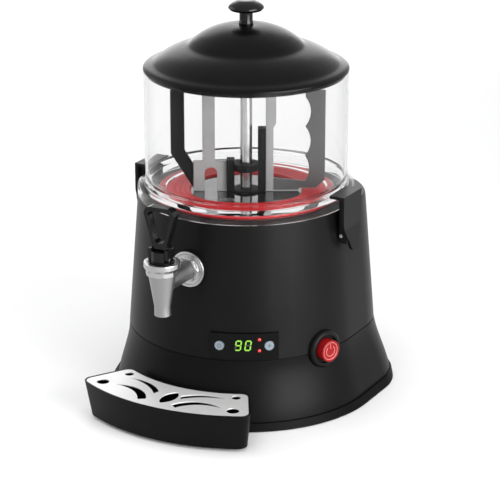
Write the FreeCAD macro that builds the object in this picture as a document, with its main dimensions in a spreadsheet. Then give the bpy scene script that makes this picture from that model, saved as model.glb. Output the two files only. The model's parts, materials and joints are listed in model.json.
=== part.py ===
import FreeCAD, Part
import Sketcher
import math
import os
from types import SimpleNamespace

# Hot chocolate dispenser: a clear bowl with a slow stirrer stands on a black heated base.
# A tap, a control panel, a power switch, two bowl clips and a drip tray hang on the base.
# The origin is on the table under the bowl's axis. +Z is up and the tap points to -Y.

# ---------------------------------------------------------------- driving dimensions, in mm
sizes = {
    # base and housing: a plan with a round front, straight sides and a rear with round corners
    "feet_height": 3,
    "foot_radius": 9,
    "foot_side_inset": 52,
    "foot_front_inset": 72,
    "foot_rear_inset": 64,
    "foot_rear_reach": 40,
    "base_radius": 160,
    "base_rear_cut": 21,
    "base_corner": 87,
    "base_lip": 0.8,
    "base_lip_width": 3,
    "base_draft": 5,
    "base_top_corner": 79,
    "base_band": 6,
    "base_floor": 3,
    "base_rim": 12,
    "wall": 2.5,
    "plan_corner": 85,
    "skirt_inset": 7.5,
    "skirt_corner": 76.5,
    "knee_corner": 77,
    "waist_corner": 78.5,
    "skirt_rear_cut": 0,
    "knee_inset": 13.2,
    "knee_height": 33,
    "waist_inset": 19,
    "waist_height": 54,
    "waist_rear_cut": 8,
    "seam_inset": 22.3,
    "seam_height": 78,
    "seam_rear_cut": 10,
    "groove_height": 1.2,
    "groove_depth": 1,
    "shoulder_inset": 33.7,
    "shoulder_drop": 9,
    "deck_inset": 34.2,
    "deck_height": 234.6,
    "deck_rear_cut": 14,
    "deck_thickness": 3,
    "rear_round": 7,
    "screw_radius": 1.7,
    "screw_head_radius": 3.4,
    "screw_head_height": 2,
    "boss_radius": 6,
    "boss_height": 30,
    "boss_inset": 7.8,
    "fit": 0.3,
    # water bath, floor of the bowl and the parts in the bath
    "tank_inset": 29.8,
    "tank_wall": 1.5,
    "motor_room": 6,
    "deck_hole_gap": 2.5,
    "pan_overlap": 12,
    "pan_thickness": 1.2,
    "gasket_width": 40,
    "gasket_overlap": 8,
    "gasket_thickness": 2.5,
    "plate_overlap": 3,
    "plate_thickness": 2,
    "leg_width": 22,
    "element_ring": 60,
    "element_radius": 4,
    "lead_radius": 3.4,
    "element_lift": 15,
    "probe_radius": 3,
    "probe_place": 48,
    "probe_length": 62,
    "lead_length": 14,
    "drain_place": 44,
    "pipe_radius": 9,
    "pipe_wall": 1.4,
    # column, shaft and gear motor
    "column_radius": 7,
    "column_bore": 5,
    "column_rise": 115.4,
    "shaft_radius": 3.2,
    "shaft_rise": 12,
    "bush_length": 10,
    "running_fit": 0.05,
    "gearbox_length": 76,
    "gearbox_width": 60,
    "gearbox_height": 34,
    "gearbox_drop": 16,
    "spacer_radius": 4,
    "motor_radius": 26,
    "motor_length": 44,
    "shaft_grip": 10,
    "coupling_radius": 9,
    "coupling_length": 12,
    # bowl
    "bowl_inset": 8.6,
    "bowl_wall": 3,
    "bowl_rise": 149.4,
    "bowl_knee_rise": 22.4,
    "bowl_lip_inset": 24.5,
    "bowl_lip_width": 4.5,
    "bowl_lip_rise": 1.7,
    "bowl_skirt_inset": 0.2,
    "skirt_wall": 3,
    "skirt_shoulder_rise": 14.3,
    "skirt_edge": 3,
    # stirrer
    "stirrer_turn": 29,
    "stirrer_room": 70,
    "stirrer_gap": 1,
    "blade_thickness": 4,
    "hub_radius": 15.5,
    "hub_bore_gap": 0.35,
    "hub_ring": 2,
    "collar_rise": 26.9,
    "collar_height": 8,
    "cheek_inner": 13.5,
    "cheek_outer": 22.5,
    "cheek_depth": 14,
    "left_cheek_rise": 39.4,
    "right_cheek_rise": 76.8,
    "web_reach": 38.5,
    "web_rise": 37.4,
    "arch_start": 11,
    "arch_end": 25.5,
    "arch_rise": 29.4,
    "left_bar_start": 13.5,
    "left_bar_end": 28,
    "right_bar_width": 12,
    "right_bar_step": 3,
    "right_bar_step_rise": 76.4,
    "bridge_lift": 8,
    "bridge_height": 8,
    "cap_radius": 9,
    "blade_reach": 64.5,
    "blade_width": 16,
    "blade_rise": 121.4,
    "blade_bend_rise": 46.4,
    "paddle_reach": 68.5,
    "paddle_start": 45.5,
    "wave_depth": 6.2,
    "wave_pitch": 35,
    "arm_height": 12,
    "paddle_chamfer": 10,
    # lid and knob
    "lid_overhang": 0.6,
    "lid_overlap": 3,
    "lid_edge": 3.8,
    "lid_wall": 2.5,
    "lid_crease_inset": 10,
    "lid_flange_rise": 5.6,
    "dome_inset": 40.5,
    "dome_rise": 19.9,
    "crown_inset": 4.2,
    "crown_step": 4.5,
    "crown_rise": 19,
    "lid_lip_gap": 1,
    "lid_lip_drop": 6.5,
    "knob_stem": 8.2,
    "knob_radius": 20.8,
    "knob_lift": 16,
    "knob_tall": 12,
    "knob_screw": 2.5,
    "knob_screw_length": 18,
    # tap
    "tap_drop": 53.6,
    "tap_stand_off": 57.4,
    "spout_radius": 9.2,
    "spout_bore": 6.5,
    "spout_drop": 35.7,
    "cone_drop": 25.5,
    "cone_rise": 12,
    "cone_radius": 15.3,
    "seat_drop": 13,
    "chamber_radius": 12.6,
    "tap_neck": 14.8,
    "collar_lift": 27,
    "collar_radius": 20.2,
    "shank_radius": 11,
    "shank_bore": 7.5,
    "shank_gap": 16,
    "flange_radius": 20.8,
    "flange_stand_off": 5.3,
    "flange_thickness": 3,
    "flange_step": 4,
    "pad_depth": 6.8,
    "nut_radius": 17,
    "nut_thickness": 6,
    "washer_thickness": 0.8,
    "bonnet_radius": 12.2,
    "bonnet_width": 8,
    "bonnet_rise": 13,
    "stem_radius": 2,
    "seal_radius": 8,
    "seal_height": 6,
    "seal_nose": 2.4,
    "stem_cover": 4,
    "spring_pocket": 4,
    "spring_radius": 5,
    "spring_wire": 0.7,
    "pivot_forward": 5,
    "pivot_cover": 8,
    "pivot_radius": 1.6,
    "ear_inner": 8.4,
    "ear_outer": 12.6,
    "ear_depth": 14.5,
    "ear_round": 3.7,
    "lever_neck_rise": 3,
    "lever_waist": 9.5,
    "lever_waist_rise": 5,
    "lever_half_width": 19.2,
    "lever_shoulder_rise": 33,
    "lever_top_rise": 8.5,
    "lever_depth": 11,
    "lever_frame": 5,
    "lever_round": 2.5,
    # bowl clips
    "clip_width": 44,
    "clip_hook_gap": 2.4,
    "clip_stand_off": 11.7,
    "clip_rise": 19.5,
    "clip_plate": 3.6,
    "clip_shield": 3.6,
    "clip_taper_drop": 39.1,
    "clip_drop": 67.1,
    "clip_flare": 5,
    "clip_pivot_stand_off": 5.5,
    "clip_pivot_drop": 47.7,
    "clip_pin_radius": 2,
    "clip_rib": 3,
    "clip_rib_place": 13.4,
    "clip_rib_drop": 56.1,
    "clip_rib_reach": 2.8,
    "clip_lug_radius": 3.6,
    # control panel and its parts
    "panel_turn": 28.15,
    "panel_proud": 0.6,
    "panel_depth": 6.3,
    "panel_sweep": 32.6,
    "panel_seam_gap": 1.6,
    "panel_height": 31.6,
    "button_radius": 5.7,
    "button_rise": 16.9,
    "button_swing": 11.7,
    "button_proud": 1,
    "button_length": 6.5,
    "digit_height": 12.7,
    "digit_width": 7.4,
    "digit_pitch": 11,
    "segment_width": 1.7,
    "segment_thickness": 0.5,
    "digit_offset": -1.2,
    "digit_rise": 11.4,
    "led_radius": 1.8,
    "led_swing": 7.1,
    "led_upper_rise": 24.6,
    "led_lower_rise": 11.3,
    "board_length": 74,
    "board_height": 28,
    "board_thickness": 1.6,
    "board_gap": 12,
    "post_radius": 2.5,
    "post_place": 30,
    # power switch
    "switch_turn": 69,
    "switch_rise": 3,
    "bezel_radius": 21.8,
    "bezel_proud": 5.3,
    "bezel_depth": 15,
    "bezel_face": 15.5,
    "switch_hole": 13.1,
    "switch_cap": 12.7,
    "switch_cap_proud": 7,
    "switch_cap_length": 19,
    "switch_body_length": 24,
    "switch_body_width": 22,
    "switch_stem_radius": 4,
    "switch_stem_length": 5,
    # mains inlet
    "inlet_height": 100,
    "inlet_width": 50,
    "inlet_tall": 28,
    "inlet_plate": 2,
    "inlet_body_width": 30,
    "inlet_body_tall": 22,
    "inlet_depth": 22,
    "socket_width": 24,
    "socket_tall": 16,
    "socket_depth": 16,
    "blade_contact_width": 4,
    "blade_contact_thick": 2,
    "blade_contact_length": 12,
    "blade_contact_pitch": 7,
    # drip tray and grille
    "tray_gap": 6.2,
    "tray_reach": 65.5,
    "tray_sweep": 30.5,
    "tray_top": 46,
    "tray_bottom": 4,
    "tray_foot_gap": 3,
    "tray_foot_reach": 49,
    "tray_foot_sweep": 29.5,
    "tray_corner": 11,
    "tray_wall": 3.6,
    "tray_floor": 2.5,
    "rebate": 1.8,
    "rebate_depth": 1.9,
    "grille_thickness": 1.5,
    "grille_pattern": 185.75,
    "tongue_place": 45,
    "tongue_width": 14,
    "tongue_height": 22,
    "tongue_thickness": 4,
    "tongue_inset": 2,
}

doc = FreeCAD.newDocument("HotChocolateDispenser")
sheet = doc.addObject("Spreadsheet::Sheet", "Sizes")
for row, (alias, value) in enumerate(sizes.items(), start=1):
    sheet.set(f"A{row}", alias)
    sheet.set(f"B{row}", str(value))
    sheet.setAlias(f"B{row}", alias)
doc.recompute()


class Size:
    """A number together with the spreadsheet expression that gives it."""

    def __init__(self, text, value):
        self.text = text
        self.value = value

    def __add__(self, other):
        other = as_size(other)
        return Size(f"({self.text} + {other.text})", self.value + other.value)

    def __sub__(self, other):
        other = as_size(other)
        return Size(f"({self.text} - {other.text})", self.value - other.value)

    def __mul__(self, other):
        other = as_size(other)
        return Size(f"({self.text} * {other.text})", self.value * other.value)

    def __truediv__(self, other):
        other = as_size(other)
        return Size(f"({self.text} / {other.text})", self.value / other.value)

    def __radd__(self, other):
        return as_size(other) + self

    def __rsub__(self, other):
        return as_size(other) - self

    def __rmul__(self, other):
        return as_size(other) * self

    def __neg__(self):
        return Size(f"(0 - {self.text})", -self.value)


def as_size(number):
    """Wrap a plain number, and leave a Size as it is."""
    if isinstance(number, Size):
        return number
    return Size(f"({number:.6f})", float(number))


def sine(angle):
    return Size(f"sin({angle.text})", math.sin(math.radians(angle.value)))


def cosine(angle):
    return Size(f"cos({angle.text})", math.cos(math.radians(angle.value)))


def arcsine(ratio):
    return Size(f"(asin({ratio.text}) / 1 deg)", math.degrees(math.asin(ratio.value)))


def root(size):
    return Size(f"sqrt({size.text})", math.sqrt(size.value))


def square(size):
    return size * size


dim = SimpleNamespace(**{alias: Size(f"Sizes.{alias}", float(value)) for alias, value in sizes.items()})
nodes = []

# ---------------------------------------------------------------- sizes that follow others
# The housing's plan follows the base's radius, from the foot up to the deck.
dim.base_straight = dim.base_radius - dim.base_corner - dim.base_rear_cut
dim.skirt_radius = dim.base_radius - dim.skirt_inset
dim.base_top_radius = dim.base_radius - dim.base_draft
dim.base_top_straight = dim.base_straight + dim.base_corner - dim.base_top_corner
dim.skirt_straight = dim.base_straight - dim.skirt_rear_cut + dim.plan_corner - dim.skirt_corner
dim.knee_radius = dim.base_radius - dim.knee_inset
dim.waist_radius = dim.base_radius - dim.waist_inset
dim.knee_straight = (dim.base_straight - (dim.skirt_rear_cut + dim.waist_rear_cut) / 2 + dim.plan_corner
                     - dim.knee_corner)
dim.waist_straight = dim.base_straight - dim.waist_rear_cut + dim.plan_corner - dim.waist_corner
dim.seam_radius = dim.base_radius - dim.seam_inset
dim.seam_straight = dim.base_straight - dim.seam_rear_cut
dim.shoulder_radius = dim.base_radius - dim.shoulder_inset
dim.deck_radius = dim.base_radius - dim.deck_inset
dim.deck_straight = dim.base_straight - dim.deck_rear_cut
dim.boss_circle = dim.knee_radius - dim.boss_inset
# The bath and its pan follow the deck. The bath stands on the gear motor's room above the base.
dim.tank_radius = dim.deck_radius - dim.tank_inset
dim.tank_floor = (dim.feet_height + dim.base_floor + dim.motor_room + dim.motor_length + dim.gearbox_height
                  + dim.gearbox_drop + dim.plate_thickness)
dim.pan_radius = dim.tank_radius + dim.pan_overlap
dim.gasket_radius = dim.tank_radius + dim.gasket_overlap
dim.gasket_inner = dim.gasket_radius - dim.gasket_width
dim.plate_radius = dim.tank_radius + dim.plate_overlap
dim.column_top = dim.deck_height + dim.column_rise
dim.shaft_top = dim.column_top + dim.shaft_rise
# The bowl follows the deck.
dim.bowl_skirt = dim.deck_radius - dim.bowl_skirt_inset
dim.bowl_radius = dim.bowl_skirt - dim.bowl_inset
dim.bowl_top = dim.deck_height + dim.bowl_rise
dim.bowl_knee = dim.deck_height + dim.bowl_knee_rise
dim.bowl_lip = dim.bowl_radius - dim.bowl_lip_inset
dim.skirt_shoulder = dim.deck_height + dim.skirt_shoulder_rise
# The stirrer spreads with the room between its hub and the bowl's lip.
dim.stirrer_spread = (dim.bowl_lip - dim.cheek_outer) / dim.stirrer_room
dim.collar_bottom = dim.deck_height + dim.collar_rise
dim.left_cheek_top = dim.deck_height + dim.left_cheek_rise
dim.right_cheek_top = dim.deck_height + dim.right_cheek_rise
dim.web_outer = dim.cheek_outer + dim.web_reach * dim.stirrer_spread
dim.web_top = dim.deck_height + dim.web_rise
dim.arch_inner = dim.cheek_outer + dim.arch_start * dim.stirrer_spread
dim.arch_outer = dim.cheek_outer + dim.arch_end * dim.stirrer_spread
dim.arch_top = dim.deck_height + dim.arch_rise
dim.left_bar_inner = dim.cheek_outer + dim.left_bar_start * dim.stirrer_spread
dim.left_bar_outer = dim.cheek_outer + dim.left_bar_end * dim.stirrer_spread
dim.right_bar_step_height = dim.deck_height + dim.right_bar_step_rise
dim.bridge_bottom = dim.column_top + dim.bridge_lift
dim.blade_outer = dim.cheek_outer + dim.blade_reach * dim.stirrer_spread
dim.blade_top = dim.deck_height + dim.blade_rise
dim.blade_bend = dim.deck_height + dim.blade_bend_rise
dim.paddle_outer = dim.cheek_outer + dim.paddle_reach * dim.stirrer_spread
dim.paddle_inner = dim.cheek_outer + dim.paddle_start * dim.stirrer_spread
# The lid follows the bowl, and the knob follows the lid.
dim.lid_rim = dim.bowl_radius + dim.lid_overhang
dim.lid_bottom = dim.bowl_top - dim.lid_overlap
dim.lid_crease = dim.bowl_radius - dim.lid_crease_inset
dim.lid_flange = dim.bowl_top + dim.lid_flange_rise
dim.dome_radius = dim.lid_crease - dim.dome_inset
dim.dome_height = dim.lid_flange + dim.dome_rise
dim.crown_radius = dim.dome_radius - dim.crown_inset
dim.crown_height = dim.dome_height + dim.crown_step
dim.crown_top = dim.crown_height + dim.crown_rise
dim.knob_bottom = dim.crown_top + dim.knob_lift
dim.knob_top = dim.knob_bottom + dim.knob_tall
# The tap hangs from the deck, and its lever from its bonnet.
dim.flange_seat = dim.shoulder_radius + dim.flange_stand_off
dim.shank_start = dim.tank_radius + dim.shank_gap
dim.tap_height = dim.deck_height - dim.tap_drop
dim.tap_reach = dim.flange_seat + dim.tap_stand_off
dim.spout_bottom = dim.tap_height - dim.spout_drop
dim.cone_bottom = dim.tap_height - dim.cone_drop
dim.cone_top = dim.tap_height + dim.cone_rise
dim.seat_height = dim.tap_height - dim.seat_drop
dim.collar_top = dim.tap_height + dim.collar_lift
dim.bonnet_top = dim.collar_top + dim.bonnet_rise
dim.stem_top = dim.bonnet_top - dim.stem_cover
dim.pivot_height = dim.bonnet_top - dim.pivot_cover
dim.lever_neck = dim.bonnet_top + dim.lever_neck_rise
dim.lever_waist_height = dim.lever_neck + dim.lever_waist_rise
dim.lever_shoulder = dim.lever_waist_height + dim.lever_shoulder_rise
dim.lever_top = dim.lever_shoulder + dim.lever_top_rise
# The clips follow the deck and the shoulder under it.
dim.clip_inner = dim.bowl_radius + dim.clip_hook_gap
dim.clip_outer = dim.shoulder_radius + dim.clip_stand_off
dim.clip_top = dim.deck_height + dim.clip_rise
dim.clip_taper = dim.clip_top - dim.clip_taper_drop
dim.clip_bottom = dim.clip_top - dim.clip_drop
dim.clip_pivot_out = dim.shoulder_radius + dim.clip_pivot_stand_off
dim.clip_pivot_height = dim.clip_top - dim.clip_pivot_drop
dim.clip_rib_bottom = dim.clip_top - dim.clip_rib_drop
# The panel follows the seam between the two shells.
dim.panel_radius = dim.seam_radius + dim.panel_proud
dim.panel_inner = dim.panel_radius - dim.panel_depth
dim.panel_bottom = dim.seam_height + dim.panel_seam_gap
dim.button_height = dim.panel_bottom + dim.button_rise
dim.digit_bottom = dim.panel_bottom + dim.digit_rise
dim.led_upper = dim.panel_bottom + dim.led_upper_rise
dim.led_lower = dim.panel_bottom + dim.led_lower_rise
dim.board_place = dim.panel_inner - dim.board_gap
# The power switch follows the seam.
dim.switch_height = dim.seam_height + dim.switch_rise
dim.bezel_front = dim.seam_radius + dim.bezel_proud
dim.bezel_back = dim.bezel_front - dim.bezel_depth
dim.switch_cap_front = dim.bezel_front + dim.switch_cap_proud
dim.switch_cap_back = dim.switch_cap_front - dim.switch_cap_length
# The drip tray follows the flare of the base.
dim.tray_inner = dim.knee_radius + dim.tray_gap
dim.tray_outer = dim.tray_inner + dim.tray_reach
dim.tray_foot_inner = dim.base_radius + dim.tray_foot_gap
dim.tray_foot_outer = dim.tray_foot_inner + dim.tray_foot_reach
dim.tongue_reach = dim.waist_radius - dim.tongue_inset


# ---------------------------------------------------------------- helpers
def bind(obj, path, size):
    """Tie one property of an object to the spreadsheet."""
    obj.setExpression(path, as_size(size).text)


def place(obj, x=0, y=0, z=0, yaw=0, pitch=0, roll=0):
    """Set an object's placement: roll about X first, then pitch about Y, then yaw about Z."""
    x, y, z = as_size(x), as_size(y), as_size(z)
    yaw, pitch, roll = as_size(yaw), as_size(pitch), as_size(roll)
    vector = f"create(<<vector>>; {x.text}; {y.text}; {z.text})"
    rotation = f"create(<<rotation>>; {yaw.text}; {pitch.text}; {roll.text})"
    obj.setExpression("Placement", f"create(<<placement>>; {vector}; {rotation})")
    return obj


def place_round(obj, turn, radius, z):
    """Stand an object's local +Z outwards at an angle to the right of the front."""
    return place(obj, radius * sine(turn), -(radius * cosine(turn)), z, yaw=turn, roll=90)


def cylinder(name, radius, height, sweep=None):
    """A Part cylinder along local +Z."""
    obj = doc.addObject("Part::Cylinder", name)
    bind(obj, "Radius", radius)
    bind(obj, "Height", height)
    if sweep is not None:
        bind(obj, "Angle", sweep)
    return obj


def box(name, length, width, height):
    """A Part box from its local corner at the origin."""
    obj = doc.addObject("Part::Box", name)
    bind(obj, "Length", length)
    bind(obj, "Width", width)
    bind(obj, "Height", height)
    return obj


def centred_box(name, length, width, height, x=0, y=0, z=0):
    """A box centred on x and y that stands on z."""
    return place(box(name, length, width, height), x - length / 2, y - width / 2, z)


def torus(name, ring, tube):
    obj = doc.addObject("Part::Torus", name)
    bind(obj, "Radius1", ring)
    bind(obj, "Radius2", tube)
    return obj


def fuse(name, parts):
    obj = doc.addObject("Part::MultiFuse", name)
    obj.Shapes = parts
    return obj


def cut(name, base, tools):
    """Cut one or more tools from a base, and check that something was cut."""
    tool = tools[0] if len(tools) == 1 else fuse(name + "_tools", tools)
    obj = doc.addObject("Part::Cut", name)
    obj.Base = base
    obj.Tool = tool
    doc.recompute()
    if obj.Shape.Volume > base.Shape.Volume - 1e-3:
        raise RuntimeError(f"{name}: the cut removes nothing")
    return obj


def group(name, parts):
    """Identical separate solids in one object."""
    obj = doc.addObject("Part::Compound", name)
    obj.Links = parts
    return obj


def node(obj, label):
    """Name a finished sub-part and keep it for export."""
    obj.Label = label
    nodes.append(obj)
    return obj


def new_body(name):
    return doc.addObject("PartDesign::Body", name)


def sketch_on(body, name, role, lift=0):
    """A sketch on one of the body's own origin planes, lifted along the plane's normal."""
    sketch = body.newObject("Sketcher::SketchObject", name)
    plane = [feature for feature in body.Origin.OriginFeatures if feature.Role == role][0]
    sketch.AttachmentSupport = [(plane, "")]
    sketch.MapMode = "FlatFace"
    bind(sketch, "AttachmentOffset.Base.z", lift)
    return sketch


def fix(sketch, kind, geometry, point, size):
    """Hold one coordinate of a sketch point at a size from the sheet."""
    size = as_size(size)
    number = sketch.addConstraint(Sketcher.Constraint(kind, -1, 1, geometry, point, size.value))
    sketch.setExpression(f"Constraints[{number}]", size.text)


def arc_between(start, end, radius, side):
    """An arc from start to end whose centre lies to the left (side 1) or right (side -1)."""
    chord = end - start
    half = chord.Length / 2
    normal = FreeCAD.Vector(-chord.y, chord.x, 0).normalize()
    rise = math.sqrt(max(radius * radius - half * half, 0.0))
    centre = (start + end) * 0.5 + normal * (side * rise)
    middle = centre - normal * (side * radius)
    return Part.Arc(start, middle, end)


def outline(sketch, points):
    """Close a chain of points. A point is (x, y), or (x, y, radius, side) before an arc."""
    places = []
    for point in points:
        places.append(FreeCAD.Vector(as_size(point[0]).value, as_size(point[1]).value, 0))
    count = len(points)
    ends = []
    for index, point in enumerate(points):
        start = places[index]
        end = places[(index + 1) % count]
        if len(point) == 4:
            geometry = sketch.addGeometry(arc_between(start, end, as_size(point[2]).value, point[3]))
            turned = point[3] < 0
            ends.append((geometry, 2 if turned else 1, 1 if turned else 2))
        else:
            geometry = sketch.addGeometry(Part.LineSegment(start, end))
            ends.append((geometry, 1, 2))
    for index, point in enumerate(points):
        geometry, first, last = ends[index]
        following = ends[(index + 1) % count]
        sketch.addConstraint(Sketcher.Constraint("Coincident", geometry, last, following[0], following[1]))
        fix(sketch, "DistanceX", geometry, first, point[0])
        fix(sketch, "DistanceY", geometry, first, point[1])
        if len(point) == 4:
            radius = as_size(point[2])
            number = sketch.addConstraint(Sketcher.Constraint("Radius", geometry, radius.value))
            sketch.setExpression(f"Constraints[{number}]", radius.text)
    return sketch


def pad(body, sketch, length, both=False, reverse=False):
    feature = body.newObject("PartDesign::Pad", sketch.Name + "_pad")
    feature.Profile = sketch
    bind(feature, "Length", length)
    feature.SideType = "Symmetric" if both else "One side"
    feature.Reversed = reverse
    return feature


def pocket(body, sketch, length, both=False, reverse=False):
    """A pocket that is checked to take material away."""
    doc.recompute()
    before = body.Shape.Volume
    feature = body.newObject("PartDesign::Pocket", sketch.Name + "_pocket")
    feature.Profile = sketch
    bind(feature, "Length", length)
    feature.SideType = "Symmetric" if both else "One side"
    feature.Reversed = reverse
    doc.recompute()
    if body.Shape.Volume > before - 1e-3:
        raise RuntimeError(f"{sketch.Name}: the pocket cuts nothing")
    return feature


def turned(name, points):
    """A body made by turning a profile of (radius, height) points about Z."""
    body = new_body(name)
    sketch = outline(sketch_on(body, name + "_profile", "XZ_Plane"), points)
    feature = body.newObject("PartDesign::Revolution", name + "_turn")
    feature.Profile = sketch
    feature.ReferenceAxis = (sketch, ["V_Axis"])
    feature.Angle = 360
    return body


def plate(name, points, thickness, bottom):
    """A flat body: an outline in plan, padded up from a height."""
    body = new_body(name)
    pad(body, outline(sketch_on(body, name + "_outline", "XY_Plane", bottom), points), thickness)
    return body


def upright(name, points, thickness):
    """A flat body that stands up: an outline in X and Z, as thick to the front as to the back."""
    body = new_body(name)
    pad(body, outline(sketch_on(body, name + "_outline", "XZ_Plane"), points), thickness, both=True)
    return body


def loft(body, sketches, subtract=False, ruled=False):
    kind = "SubtractiveLoft" if subtract else "AdditiveLoft"
    feature = body.newObject("PartDesign::" + kind, sketches[0].Name + "_loft")
    feature.Profile = sketches[0]
    feature.Sections = sketches[1:]
    feature.Ruled = ruled
    return feature


def plan(half_width, straight, corner):
    """The housing's plan: half circle in front, straight sides, round rear corners, flat rear."""
    return [
        (-half_width, 0, half_width, 1),
        (0, -half_width, half_width, 1),
        (half_width, 0),
        (half_width, straight, corner, 1),
        (half_width - corner, straight + corner),
        (corner - half_width, straight + corner, corner, 1),
        (-half_width, straight),
    ]


def plan_sections(body, name, levels, inset):
    """One plan sketch for each (height, half width, straight, corner), drawn in by an inset."""
    sketches = []
    for number, (height, half_width, straight, corner) in enumerate(levels):
        sketch = sketch_on(body, f"{name}_{number}", "XY_Plane", height)
        sketches.append(outline(sketch, plan(half_width - inset, straight, corner - inset)))
    return sketches


def sector(inner, outer, sweep, corner):
    """A ring sector about the bowl's axis that faces the front, with round corners."""
    outer_angle = sweep - arcsine(corner / (outer - corner))
    inner_angle = sweep - arcsine(corner / (inner + corner))
    outer_side = root(square(outer - corner) - square(corner))
    inner_side = root(square(inner + corner) - square(corner))
    return [
        (-(outer * sine(outer_angle)), -(outer * cosine(outer_angle)), outer, 1),
        (outer * sine(outer_angle), -(outer * cosine(outer_angle)), corner, 1),
        (outer_side * sine(sweep), -(outer_side * cosine(sweep))),
        (inner_side * sine(sweep), -(inner_side * cosine(sweep)), corner, 1),
        (inner * sine(inner_angle), -(inner * cosine(inner_angle)), inner, -1),
        (-(inner * sine(inner_angle)), -(inner * cosine(inner_angle)), corner, 1),
        (-(inner_side * sine(sweep)), -(inner_side * cosine(sweep))),
        (-(outer_side * sine(sweep)), -(outer_side * cosine(sweep)), corner, 1),
    ]


# ---------------------------------------------------------------- base
band_top = dim.feet_height + dim.base_band
inner_floor = dim.feet_height + dim.base_floor


def screw_places():
    """Six places just inside the housing's wall for the bosses and their screws: x and y."""
    corner_reach = dim.knee_corner + dim.boss_circle - dim.knee_radius
    rear_turn = as_size(45)
    places = []
    for side in (1, -1):
        for turn in (35, 85):
            angle = as_size(turn * side)
            places.append((dim.boss_circle * sine(angle), -(dim.boss_circle * cosine(angle))))
        rear_x = side * (dim.knee_radius - dim.knee_corner + corner_reach * sine(rear_turn))
        rear_y = dim.knee_straight + corner_reach * cosine(rear_turn)
        places.append((rear_x, rear_y))
    return places


def make_base_plate():
    body = new_body("base_tray")
    loft(body, plan_sections(body, "base_rim", [
        (dim.base_lip, dim.base_radius, dim.base_straight, dim.base_corner),
        (band_top, dim.base_top_radius, dim.base_top_straight, dim.base_top_corner)], 0))
    under = outline(sketch_on(body, "base_under", "XY_Plane", dim.feet_height),
                    plan(dim.base_radius - dim.base_lip_width, dim.base_straight,
                         dim.base_corner - dim.base_lip_width))
    pocket(body, under, dim.feet_height - dim.base_lip)
    hollow = outline(sketch_on(body, "base_hollow", "XY_Plane", band_top),
                     plan(dim.base_radius - dim.base_rim, dim.base_top_straight,
                          dim.base_top_corner - dim.base_rim))
    pocket(body, hollow, dim.base_band - dim.base_floor)
    tools = []
    for number, (x, y) in enumerate(screw_places()):
        head = cylinder(f"head_hole_{number}", dim.screw_head_radius + dim.fit, dim.screw_head_height)
        tools.append(place(head, x, y, dim.feet_height))
        shank = cylinder(f"shank_hole_{number}", dim.screw_radius + dim.fit, dim.base_floor)
        tools.append(place(shank, x, y, dim.feet_height))
    slot_length, slot_width, slot_pitch, slot_count = 60, 4, 12, 7
    for number in range(slot_count):
        y = as_size((number - (slot_count - 1) / 2) * slot_pitch)
        slot = centred_box(f"air_slot_{number}", as_size(slot_length), as_size(slot_width), dim.base_floor,
                           y=y, z=dim.feet_height)
        tools.append(slot)
    node(cut("base_plate", body, tools), "base_plate")


def make_feet():
    """Four rubber feet stuck under the base."""
    parts = []
    front_x = dim.base_radius - dim.foot_side_inset
    front_y = dim.foot_front_inset - dim.base_radius
    rear_x = dim.base_radius - dim.foot_rear_inset
    rear_y = dim.base_straight + dim.foot_rear_reach
    for number, (x, y) in enumerate([(front_x, front_y), (-front_x, front_y), (rear_x, rear_y), (-rear_x, rear_y)]):
        parts.append(place(cylinder(f"foot_{number}", dim.foot_radius, dim.feet_height), x, y, 0))
    node(group("foot_set", parts), "feet")


def make_base_screws():
    parts = []
    for number, (x, y) in enumerate(screw_places()):
        head = place(cylinder(f"screw_head_{number}", dim.screw_head_radius, dim.screw_head_height),
                     x, y, dim.feet_height)
        shank = place(cylinder(f"screw_shank_{number}", dim.screw_radius, dim.boss_height - dim.boss_radius),
                      x, y, dim.feet_height)
        parts.append(fuse(f"screw_{number}", [head, shank]))
    node(group("screw_set", parts), "base_screws")


# ---------------------------------------------------------------- housing
lower_levels = [
    (band_top, dim.skirt_radius, dim.skirt_straight, dim.skirt_corner),
    (dim.knee_height, dim.knee_radius, dim.knee_straight, dim.knee_corner),
    (dim.waist_height, dim.waist_radius, dim.waist_straight, dim.waist_corner),
    (dim.seam_height, dim.seam_radius, dim.seam_straight, dim.plan_corner),
]


def radial_box(name, along, across, tall, turn, radius, z, shift=0):
    """A box at an angle to the right of the front: its outer face at a radius, standing on z."""
    obj = box(name, across, along, tall)
    x = radius * sine(turn) + (shift - across / 2) * cosine(turn)
    y = (shift - across / 2) * sine(turn) - radius * cosine(turn)
    return place(obj, x, y, z, yaw=turn)


def make_lower_housing():
    """The flared lower shell with its screw bosses, tray slots and its half of the switch hole."""
    body = new_body("lower_shell")
    loft(body, plan_sections(body, "lower_outer", lower_levels, 0))
    loft(body, plan_sections(body, "lower_inner", lower_levels, dim.wall), subtract=True)
    bosses = [body]
    pilots = []
    for number, (x, y) in enumerate(screw_places()):
        bosses.append(place(cylinder(f"boss_{number}", dim.boss_radius, dim.boss_height), x, y, inner_floor))
        pilots.append(place(cylinder(f"pilot_{number}", dim.screw_radius, dim.boss_height), x, y, inner_floor))
    for side in (-1, 1):
        slot = centred_box(f"tray_slot_{side + 1}", dim.tongue_width + 2 * dim.fit, dim.skirt_radius / 4,
                           dim.tongue_thickness + 2 * dim.fit, side * dim.tongue_place, -dim.seam_radius,
                           dim.tongue_height - dim.fit)
        pilots.append(slot)
    pilots.append(switch_hole("lower_switch_hole"))
    node(cut("lower_housing", fuse("lower_with_bosses", bosses), pilots), "lower_housing")


def switch_hole(name):
    """The round hole that the switch bezel fills, cut through both shells."""
    hole = cylinder(name, dim.bezel_radius + dim.fit, dim.bezel_front - dim.bezel_back + 2 * dim.wall)
    return place_round(hole, dim.switch_turn, dim.bezel_back - dim.wall, dim.switch_height)


groove_top = dim.seam_height + dim.groove_height
inlet_seat = dim.seam_straight + dim.plan_corner + dim.fit
shoulder_height = dim.deck_height - dim.shoulder_drop


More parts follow.
